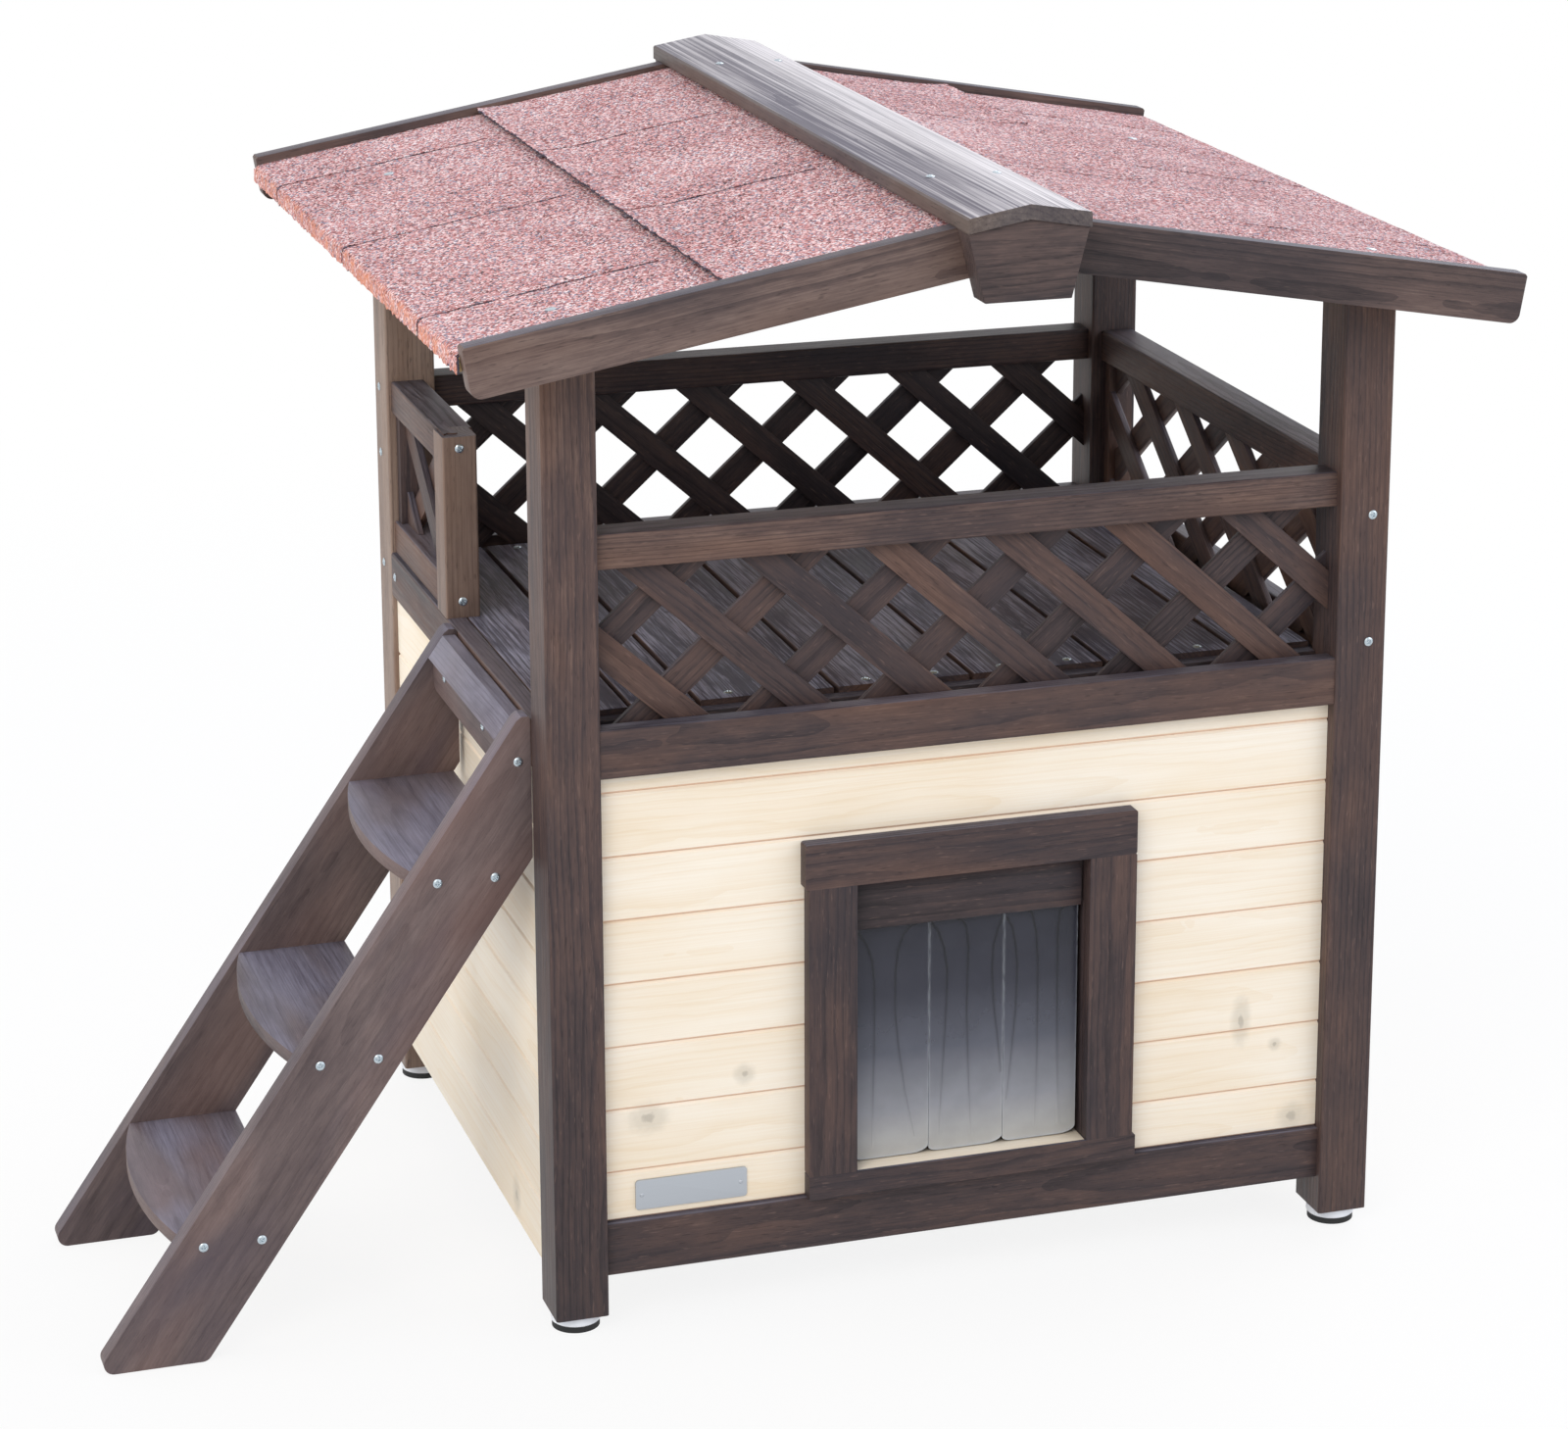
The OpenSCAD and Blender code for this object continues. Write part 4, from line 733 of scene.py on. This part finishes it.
def addScrews(look):
    source = solidsOf(["screws"])
    made = bmesh.new()
    luck = random.Random(51)
    for part in looseParts(source):
        low = Vector(min(v.co[i] for v in part) for i in range(3))
        high = Vector(max(v.co[i] for v in part) for i in range(3))
        axis = max(range(3), key=lambda i: (high - low)[i])
        middle = (low + high) / 2

        def spread(end):
            return max((v.co - middle).length for v in part if abs(v.co[axis] - end) < 0.1 * mm)

        headAtLow = spread(low[axis]) > spread(high[axis])
        along = Vector([0, 0, 0])
        along[axis] = 1 if headAtLow else -1
        seat = middle.copy()
        seat[axis] = low[axis] if headAtLow else high[axis]
        seat += along * look["headHeight"] * mm
        length = (high[axis] - low[axis]) / mm - look["headHeight"] - 0.1
        screwInto(made, seat, along, length, luck.uniform(0, pi), look)
    source.free()
    addShell("zincScrews", made, 40, zincPlate("zinc plated steel", zinc),
             nodes=["screws"])


addScrews(screwShape)


# Clout nails that hold the felt's lower course, and a splinter at the stair side fence

roof = {  # mm, from the house's middle
    "ridgeZ": 963.5, "pitch": 9.9, "front": -382.3, "back": 454.3,  # the pitch in degrees
    "upperDrop": 4.5, "lowerDrop": 7.5, "thick": 2.8, "courseX": 241.0, "lapX": 214.0,
    "eaveX": 458.0, "foldZ": 17.5, "tab": 296.0, "slotY": 47.0, "slotShift": 168.0,
    "slot": 4.8, "capHalf": 52.7, "step": 6.0, "wave": 0.8, "ragged": 3.4,
    "turn": 6.0, "curl": 3.6, "curlReach": 45.0, "backing": 14.0, "slotRagged": 2.8,
    "slotDark": 0.34, "fringe": 4.2, "slotMargin": 20, "lowerSlotFrom": 12, "upperSlotFrom": 10,
    "turnSteps": 5, "foldSteps": (3.0, 6.0), "backingLift": 1.3, "backingThick": 1.0,
    "backingStep": 30.0, "backingIn": 1.0,
}
roofLean = tan(radians(roof["pitch"]))
nails = {  # mm
    "places": [(-363, 288), (-365, -320), (353, -312), (360, 250)], "sunk": 1.2, "corners": 28,
    "profile": [  # radius and height, from the point to the head's top
        (1.3, -2.5), (1.3, 1.1), (4.6, 1.1), (4.6, 1.5), (4.1, 2.0), (1.6, 2.3)],
}


def addNails(look, material):
    bm = bmesh.new()
    for x, y in look["places"]:
        side = 1 if x > 0 else -1
        away = Vector((side * roofLean, 0, 1)).normalized()
        across = Vector((0, 1, 0))
        down = across.cross(away)
        seat = Vector((x, y, roof["ridgeZ"] - roofLean * abs(x) - roof["lowerDrop"]))
        turns = [2 * pi * k / look["corners"] for k in range(look["corners"])]
        rings = []
        for radius, height in look["profile"]:
            middle = seat + away * (height - look["sunk"])
            rings.append([bm.verts.new((middle + radius * (
                cos(t) * across + sin(t) * down)) * mm + houseMiddle) for t in turns])
        joinRings(bm, rings)
    addShell("feltNails", bm, 40, material)


splinter = {  # mm
    "length": 34.0, "width": 13.0, "thick": 1.6, "lift": 3.0, "ragged": 4.0,
    "inX": 3, "inY": 10, "sunk": 0.3,
    "rows": 14, "columns": 6, "taper": 0.35, "uneven": 0.18, "tone": 0.6,
}


def addSplinter(look):
    # torn along the grain at the fence rail's end, one edge still on the end post
    bm = bmesh.new()
    place = bm.verts.layers.float_vector.new("woodPlace")
    piece = bm.verts.layers.float.new("piece")
    low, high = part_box("left_fence_end_post")
    corner = Vector((low.x + look["inX"] * mm, low.y + look["inY"] * mm, high.z))
    sheets = []
    for thick in (look["thick"], 0.0):
        grid = []
        for i in range(look["rows"] + 1):
            row = []
            t = i / look["rows"]
            uneven = look["uneven"] * noise.noise(Vector((t * 5, 2.0, 0.3)))
            width = look["width"] * (1 - look["taper"] * t + uneven)
            for j in range(look["columns"] + 1):
                u = j / look["columns"]
                torn = look["ragged"] if i in (0, look["rows"]) else 0.0
                x = u * width
                y = t * look["length"] + torn * noise.noise(Vector((u * 3.1, 0.4, 1.7)))
                z = look["lift"] * t * t * (0.4 + 0.6 * u) + thick * (1 - 0.4 * t)
                vert = bm.verts.new(corner + Vector((x, y, z - look["sunk"])) * mm)
                vert[place] = Vector((3.0 + y * mm, x * mm, 0.04 + z * mm))
                vert[piece] = look["tone"]
                row.append(vert)
            grid.append(row)
        sheets.append(grid)
    joinSheets(bm, *sheets)
    addShell("railSplinter", bm, 35, timber)


addNails(nails, bpy.data.materials["zinc plated steel"])
addSplinter(splinter)
print("screws and nails ready")


# Shingles: bitumen felt with mineral granules, two courses a side

granules = {
    "grain": 1.8,  # mm across a granule, as in coarse slate chips
    "stops": [(0.02, "#3a292b"), (0.17, "#8d5656"), (0.4, "#bd7b78"), (0.6, "#d49a98"),
              (0.8, "#e4bfbd"), (0.97, "#f3e4e3")],
    "blue": "#85889a", "blueShare": 0.12, "fold": "#d98a66", "bitumen": "#45424f",
}


def mineralFelt(name, look):
    # Bitumen felt strewn with coloured slate granules: rough, sparkling between dark and pale chips
    made, add, shader = newMaterial(name)
    where = add("TexCoord").outputs["Object"]
    chips = add("TexVoronoi", {"Scale": 1000 / look["grain"]}, {"Vector": where})
    kind = add("SeparateColor", {}, {0: chips.outputs["Color"]})
    dusty = add("TexNoise", {"Scale": 9.0, "Detail": 4.0, "Roughness": 0.6},
                {"Vector": where})  # 110 mm
    tone = blended(add, [(kind, 1.0, 0.5), (dusty, 0.5, 0.5)])
    colour = add("ValToRGB", {"stops": look["stops"]}, {0: tone})
    blue = add("Math", {"operation": "LESS_THAN", 1: look["blueShare"]}, {0: kind.outputs[1]})
    flaky = add("TexNoise", {"Scale": 75.0, "Detail": 2.0}, {"Vector": where})  # 13 mm
    scuffed = add("MapRange", {"From Min": 0.38, "From Max": 0.6, "To Min": 0.12,
                               "To Max": 0.85}, {"Value": flaky})
    highlightPerChip = add("MapRange", {"To Min": 0.35, "To Max": 1.15}, {"Value": kind.outputs[2]})
    # painted highlight: orange laid in patches over the felt where it turns down at the eave; the
    # scuffed mask only makes it patchy
    fold = add("Attribute", {"attribute_name": "fold"}).outputs["Fac"]
    wornAndSheen = add("Math", {"operation": "MULTIPLY"}, {0: fold, 1: scuffed})
    share = add("Math", {"operation": "MULTIPLY"}, {0: wornAndSheen, 1: highlightPerChip})
    under = add("Attribute", {"attribute_name": "under"}).outputs["Fac"]
    for code, source, low, high in (("blue", blue, 0, 1), ("fold", share, 0, 1),
                                    ("bitumen", under, 0.12, 0.4)):
        colour = laidOver(add, colour, look[code], source, low, high)
    bump = add("Bump", {"Strength": 0.8, "Distance": 0.0011, "invert": True},
               {"Height": chips.outputs["Distance"]})
    setNode(shader, {"Roughness": 0.92}, {"Base Color": colour, "Normal": bump})
    return made


def steps(low, high, size):
    count = max(1, ceil((high - low) / size))
    return [low + (high - low) * i / count for i in range(count + 1)]


def feltSheet(bm, side, line, ys, kept, look, seed, lifted=False):
    # line: points down the slope as x, z, outward x, outward z; kept(j, i) says if a cell is there
    foldHighlightLayer = bm.verts.layers.float.get("fold") or bm.verts.layers.float.new("fold")
    underLayer = bm.verts.layers.float.get("under") or bm.verts.layers.float.new("under")
    verts = {}

    def corner(j, i, lower):
        if (j, i, lower) not in verts:
            x, z, nx, nz = line[j]
            y = ys[i]
            if 0 < i < len(ys) - 1:
                y += look["slotRagged"] * noise.noise(Vector((x * 0.07, i * 7.7, seed)))
            elif nx > 0.9:
                fringe = look["fringe"] + 1.2 * noise.noise(Vector((z * 0.4, i, seed)))
                y += fringe if i else -fringe
            shake = noise.noise(Vector((x * 0.02, y * 0.02, seed))) * look["wave"]
            shake += noise.noise(Vector((x * 0.11, y * 0.11, seed + 4))) * 0.25 * look["wave"]
            push = 0.0
            if j == len(line) - 1:
                push = look["ragged"] * (noise.noise(Vector((y * 0.13, seed, 2.0))) - 0.5)
                push += 0.5 * look["ragged"] * noise.noise(Vector((y * 0.45, seed, 8.0)))
            rest = line[-1][0] - x
            curl = look["curl"] * max(0.0, 1 - rest / look["curlReach"]) ** 2 if lifted else 0.0
            off = (-look["thick"] if lower else min(0.0, shake - 0.2)) + curl
            spot = Vector((side * (x + nx * off + nz * push), y, z + nz * off - nx * push))
            vert = bm.verts.new(spot * mm + houseMiddle)
            # how far the felt turns down at the eave, which carries the painted highlight
            vert[foldHighlightLayer] = max(0.0, (nx - 0.3) / 0.7)
            vert[underLayer] = 1.0 if lower else 0.0
            verts[(j, i, lower)] = vert
        return verts[(j, i, lower)]

    def there(j, i):
        return 0 <= j < len(line) - 1 and 0 <= i < len(ys) - 1 and kept(j, i)

    for j in range(len(line) - 1):
        for i in range(len(ys) - 1):
            if not there(j, i):
                continue
            cell = [(j, i), (j + 1, i), (j + 1, i + 1), (j, i + 1)]
            bm.faces.new([corner(*c, False) for c in cell])
            bm.faces.new([corner(*c, True) for c in cell[:1] + cell[:0:-1]])
            for nj, ni, a, b in (
                    (j - 1, i, (j, i), (j, i + 1)), (j + 1, i, (j + 1, i + 1), (j + 1, i)),
                    (j, i - 1, (j + 1, i), (j, i)), (j, i + 1, (j, i + 1), (j + 1, i + 1))):
                if not there(nj, ni):
                    bm.faces.new([corner(*c) for c in (
                        (*a, False), (*b, False), (*b, True), (*a, True))])


def slotPlaces(first, look):
    places = [first + k * look["tab"] for k in range(-3, 4)]
    margin = look["slotMargin"]
    return [y for y in places if look["front"] + margin < y < look["back"] - margin]


def addShingles(name, node, side, material, look):
    bm = bmesh.new()
    lean = Vector((roofLean, 1)).normalized()

    def onSlope(x, drop):
        return (x, look["ridgeZ"] - roofLean * x - drop, lean.x, lean.y)

    def rows(first):
        slots = slotPlaces(first, look)
        edges = [y + s * look["slot"] / 2 for y in slots for s in (-1, 1)]
        edges = [look["front"], *edges, look["back"]]
        ys, gaps = [], set()
        for k in range(len(edges) - 1):
            if k % 2:
                gaps.add(len(ys))
                ys.append(edges[k])
            else:
                ys.extend(steps(edges[k], edges[k + 1], look["step"])[:-1])
        ys.append(edges[-1])
        return ys, gaps

    def course(line, first, slotsFrom, seed, lifted=False):
        ys, gaps = rows(first)
        feltSheet(bm, side, line, ys, lambda j, i: not (i in gaps and line[j][0] > slotsFrom),
                  look, seed, lifted)

    xs = steps(look["lapX"], look["eaveX"] - look["turn"] * (1 - lean.x), look["step"])
    line = [onSlope(x, look["lowerDrop"]) for x in xs]
    turn = look["turn"]
    turnX, turnZ = line[-1][0] - turn * lean.x, line[-1][1] - turn * lean.y
    for k in range(1, look["turnSteps"] + 1):
        a = radians(90 - look["pitch"]) * (1 - k / look["turnSteps"])
        line.append((turnX + turn * cos(a), turnZ + turn * sin(a), cos(a), sin(a)))
    downs = (*look["foldSteps"], look["foldZ"] - turn)
    line += [(look["eaveX"], turnZ - down, 1.0, 0.0) for down in downs]
    course(line, look["slotY"], look["courseX"] + look["lowerSlotFrom"], 1.0 + side)
    line = [onSlope(x, look["upperDrop"]) for x in steps(1.0, look["courseX"], look["step"])]
    course(line, look["slotY"] + look["slotShift"], look["capHalf"] + look["upperSlotFrom"],
           7.0 + side, True)
    # dark felt backs each slot
    for first, low, high, drop in (
            (look["slotY"], look["courseX"] + 4, look["eaveX"], look["lowerDrop"]),
            (look["slotY"] + look["slotShift"], look["capHalf"] + 2, look["courseX"],
             look["upperDrop"])):
        for y in slotPlaces(first, look):
            half = look["backing"] / 2
            xs = steps(low, high - look["backingIn"], look["backingStep"])
            backing = [onSlope(x, drop + look["thick"] - look["backingLift"]) for x in xs]
            feltSheet(bm, side, backing, [y - half, y + half], lambda j, i: True,
                      {**look, "thick": look["backingThick"], "wave": 0.0, "ragged": 0.0}, 3.0)
            for vert in list(bm.verts)[-4 * len(xs):]:
                vert[bm.verts.layers.float["under"]] = look["slotDark"]
    addShell(name, bm, 50, material, nodes=[node])


felt = mineralFelt("slate granule felt", granules)
addShingles("shinglesLeft", "shingles_left", -1, felt, roof)
addShingles("shinglesRight", "shingles_right", 1, felt, roof)
print("shingles ready")


# Flap: three clear strips with moulded ribs

flap = {
    "grid": 1.3, "rim": 0.45, "thick": 2.0, "ribHeight": 0.4, "ribWidth": 1.15,  # mm
    "corner": 16.0, "below": 0.6, "edgeGlint": 0.3, "endGlint": 1.8,
    "cornerLift": 0.42, "leftCorner": 0.55, "brightest": 0.85,  # shares
    "ribs": [  # per strip: points as mm from its left edge and below its top
        [[(63, 0), (51, 3), (44, 10), (39, 25), (37, 46), (37, 82), (40, 112), (46, 154),
          (55, 198)],
         [(4, 5), (11, 16), (16, 31), (18, 52), (18, 112), (17, 157), (16, 203)]],
        [[(1, 2), (8, 12), (13, 27), (16, 48), (15, 87), (12, 141), (9, 200)],
         [(67, 4), (62, 15), (58, 30), (57, 51), (59, 87), (62, 111), (66, 150)],
         [(6, 0), (20, 0), (29, 3), (33, 10), (35, 27), (34, 87), (36, 147), (39, 203)]],
        [[(1, 4), (7, 15), (10, 30), (12, 51), (11, 90), (7, 135), (3, 175)],
         [(7, 0), (19, 0), (25, 4), (29, 21), (31, 51), (31, 141), (30, 203)],
         [(56, 0), (51, 6), (49, 21), (49, 66), (50, 141), (52, 203)]],
    ],
}
vinyl = {
    # painted shade at the top and painted light at the foot, for the dark cabin and pale floor seen
    # through
    "stops": [(0.0, "#32333c"), (0.3, "#3c3d47"), (0.55, "#5f616b"), (0.8, "#96979c"),
              (1.0, "#bfbdb7")],
    # the edge colour is a painted glint along the strips' sides and lower ends; the rib colour is
    # painted shade
    "ribShade": "#0f1014", "edge": "#c9ced3", "alpha": 0.8, "haze": 0.06,
}


def smokedVinyl(name, look):
    # Extruded soft PVC, slightly milky: see-through, wet-looking, with painted shade and light for
    # what shows through it, painted shade along the ribs and painted glints at the edges
    made, add, shader = newMaterial(name)
    rib, down, edge = (add("Attribute", {"attribute_name": key}).outputs["Fac"]
                       for key in ("rib", "down", "edge"))
    # painted shade along the ribs, fading towards the lower end
    fading = add("MapRange", {"From Min": 0.1, "To Min": 1.0, "To Max": 0.22}, {"Value": down})
    ribShadeShare = add("Math", {"operation": "MULTIPLY"}, {0: rib, 1: fading})
    # painted shade and light of what shows through: dark at the top, pale at the foot
    colour = add("ValToRGB", {"stops": look["stops"]}, {0: down})
    colour = laidOver(add, colour, look["ribShade"], ribShadeShare)
    # painted glint at the sides and lower ends
    colour = laidOver(add, colour, look["edge"], edge)
    where = add("TexCoord").outputs["Object"]
    cloud = add("TexNoise", {"Scale": 40.0, "Detail": 3.0}, {"Vector": where})  # 25 mm
    haze = add("MapRange", {
        "From Min": 0.3, "From Max": 0.7, "To Min": look["alpha"] - look["haze"],
        "To Max": look["alpha"] + look["haze"]}, {"Value": cloud})
    solid = add("Math", {"operation": "MULTIPLY_ADD", 1: 0.3, "use_clamp": True}, {0: rib, 2: haze})
    # a soft, scuffed skin
    setNode(shader, {"Roughness": 0.16, "IOR": 1.53, "Specular IOR Level": 0.3},
            {"Base Color": colour, "Alpha": solid})
    return made


def addStrip(index, side, material, look):
    node = "flap_strip_" + side
    low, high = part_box(node)
    top, middleY = high.z - look["below"] * mm, (low.y + high.y) / 2
    width, drop = (high.x - low.x) / mm, (top - low.z) / mm
    lines = [(Vector(a), Vector(b)) for points in look["ribs"][index]
             for a, b in zip(points, points[1:])]
    bm = bmesh.new()
    ribLayer, downLayer, glintLayer = (bm.verts.layers.float.new(key)
                                      for key in ("rib", "down", "edge"))
    rim = look["rim"]
    xs = [0.0] + steps(rim, width - rim, look["grid"]) + [width]
    zs = steps(0.0, drop, look["grid"])

    def ribAt(x, z):
        here = Vector((x, z))
        best = 99.0
        for a, b in lines:
            if all(min(p, q) - 3 < c < max(p, q) + 3 for p, q, c in zip(a, b, (x, z))):  # mm
                t = max(0.0, min(1.0, (here - a).dot(b - a) / (b - a).length_squared))
                best = min(best, (here - a - t * (b - a)).length)
        return exp(-(best / look["ribWidth"]) ** 2)

    sheets = []
    for back in (False, True):
        grid = []
        for z in zs:
            row = []
            for x in xs:
                # lower corners are rounded by lifting the rows there
                edge = min(x, width - x)
                r = look["corner"] * (1.0 if x > width / 2 else look["leftCorner"])
                lift = r - (r * r - (r - edge) ** 2) ** 0.5 if edge < r else 0.0
                lift *= look["cornerLift"]
                down = z * (drop - lift) / drop
                rib = 0.0 if back else ribAt(x, z)
                y = (look["thick"] if back else -look["thick"]) / 2 - rib * look["ribHeight"]
                vert = bm.verts.new((low.x + x * mm, middleY + y * mm, top - down * mm))
                vert[ribLayer] = rib
                vert[downLayer] = z / drop
                # painted glint: pale along the side edges, palest along the lower end
                glint = 0.45 + 0.4 * noise.noise(Vector((index, x * 0.02, z * 0.12)))
                vert[glintLayer] = max(glint * exp(-edge / look["edgeGlint"]),
                                      look["brightest"] * exp(-(drop - z) / look["endGlint"]))
                row.append(vert)
            grid.append(row)
        sheets.append(grid)
    joinSheets(bm, *sheets)
    addShell("flapStrip" + side.title(), bm, 50, material, "flap_" + side, [node])


smoked = smokedVinyl("smoked soft PVC", vinyl)
for index, side in enumerate(("left", "middle", "right")):
    addStrip(index, side, smoked, flap)
print("flap ready")


# Plate, feet, gland, mat, foam and panels

steel = {"colour": "#b4b9c0", "stroke": 0.5}  # mm between brush strokes, coarser than real to show


def brushedSteel(name, look):
    # Rolled and brushed stainless sheet: fine level lines, soft streaky shine
    made, add, shader = newMaterial(name)
    where = add("TexCoord").outputs["Object"]
    across = 1000 / look["stroke"]
    fine = add("Mapping", {"Scale": (30, across, across)}, {"Vector": where})
    strokes = add("TexNoise", {"Scale": 1.0, "Detail": 2.0}, {"Vector": fine})
    gloss = add("MapRange", {"To Min": 0.3, "To Max": 0.5}, {"Value": strokes})
    bump = add("Bump", {"Strength": 0.15, "Distance": 0.0002}, {"Height": strokes})
    setNode(shader, {"Base Color": look["colour"], "Metallic": 1.0},
            {"Roughness": gloss, "Normal": bump})
    return made


plastics = {  # two colours, mm of the skin's grain and its depth, roughness, index of refraction
    "moulded white nylon": ("#f7f9fc", "#eceef2", 0.8, 0.1, 0.38, 1.46),
    "moulded black rubber": ("#121214", "#1c1c1e", 0.7, 0.2, 0.72, 1.52),
    "moulded grey ABS": ("#66696d", "#5b5e62", 1.2, 0.25, 0.55, 1.46),
    "moulded black nylon": ("#232425", "#2c2d2e", 0.8, 0.12, 0.45, 1.46),
}


def mouldedPlastic(name, look):
    # Injection moulded plastic or rubber: fine spark-eroded skin, slightly uneven gloss
    first, second, grainSize, depth, roughness, ior = look
    made, add, shader = newMaterial(name)
    where = add("TexCoord").outputs["Object"]
    skin = add("TexNoise", {"Scale": 1000 / grainSize, "Detail": 2.0}, {"Vector": where})
    dirt = add("TexNoise", {"Scale": 60.0, "Detail": 4.0}, {"Vector": where})  # 17 mm
    colour = add("Mix", {**colourMix, 6: first, 7: second}, {0: dirt}).outputs[2]
    bump = add("Bump", {"Strength": 0.3, "Distance": depth * mm}, {"Height": skin})
    setNode(shader, {"Roughness": roughness, "IOR": ior}, {"Base Color": colour, "Normal": bump})
    return made


beads = {"size": 4.0, "stops": [(0.0, "#fbfcfd"), (0.55, "#eef1f3"), (0.8, "#d8dcdf")]}  # mm


def beadFoam(name, look):
    # Moulded polystyrene beads: white cells with soft joints
    made, add, shader = newMaterial(name)
    where = add("TexCoord").outputs["Object"]
    cells = add("TexVoronoi", {"Scale": 1000 / look["size"]}, {"Vector": where})
    far = cells.outputs["Distance"]
    colour = add("ValToRGB", {"stops": look["stops"]}, {0: far})
    bump = add("Bump", {"Strength": 0.5, "Distance": 0.0006, "invert": True}, {"Height": far})
    setNode(shader, {"Roughness": 0.85}, {"Base Color": colour, "Normal": bump})
    return made


corners = ("front_left", "front_right", "back_left", "back_right")
nylon, rubber, matShell, blackNylon = (mouldedPlastic(*item) for item in plastics.items())
for material, nodes in (
        (nylon, ["foot_disc_" + corner for corner in corners]),
        (rubber, ["foot_pad_" + corner for corner in corners]),
        (plywood, ["cabin_floor", "inner_lining", "cabin_ceiling", "roof_panels"]),
        (beadFoam("expanded polystyrene", beads), ["insulation"]),
        (matShell, ["heating_mat"]), (blackNylon, ["cable_gland"])):
    for node in nodes:
        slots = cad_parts[node].data.materials
        slots.clear()
        slots.append(material)

plate = {  # mm
    "corner": 3.0, "edge": 0.4, "pin": 1.9, "pinHeight": 0.9, "pinIn": 5.5, "pinSunk": 0.2}


def addPlate(material, look):
    low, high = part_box("name_plate")
    middle = (low + high) / 2
    wide, tall = (high.x - low.x) / 2 / mm, (high.z - low.z) / 2 / mm
    bm = bmesh.new()

    def outline(inset, y):
        r = max(look["corner"] - inset, 0.2)
        made = []
        for cx, cz, first in ((1, 1, 0), (-1, 1, 90), (-1, -1, 180), (1, -1, 270)):
            for k in range(7):
                a = radians(first + 15 * k)
                x, z = cx * (wide - inset - r) + r * cos(a), cz * (tall - inset - r) + r * sin(a)
                made.append(bm.verts.new((middle.x + x * mm, y, middle.z + z * mm)))
        return made

    slight = look["edge"] * 0.3
    joinRings(bm, [outline(0.0, high.y), outline(0.0, low.y + look["edge"] * mm),
                   outline(slight, low.y + slight * mm), outline(look["edge"], low.y)])
    for end in (-1, 1):
        rings = []
        for step in range(6):
            a = radians(15 * step)
            out = look["pinSunk"] - look["pinHeight"] * sin(a)
            pin = Vector((end * (wide - look["pinIn"]), out, 0))
            turns = [pi * k / 12 for k in range(24)]
            rings.append([bm.verts.new(Vector((middle.x, low.y, middle.z)) + mm * (
                pin + look["pin"] * cos(a) * Vector((cos(t), 0, sin(t))))) for t in turns])
        joinRings(bm, rings)
    addShell("barePlate", bm, 40, material, nodes=["name_plate"])


addPlate(brushedSteel("brushed steel", steel), plate)
print("fittings ready")
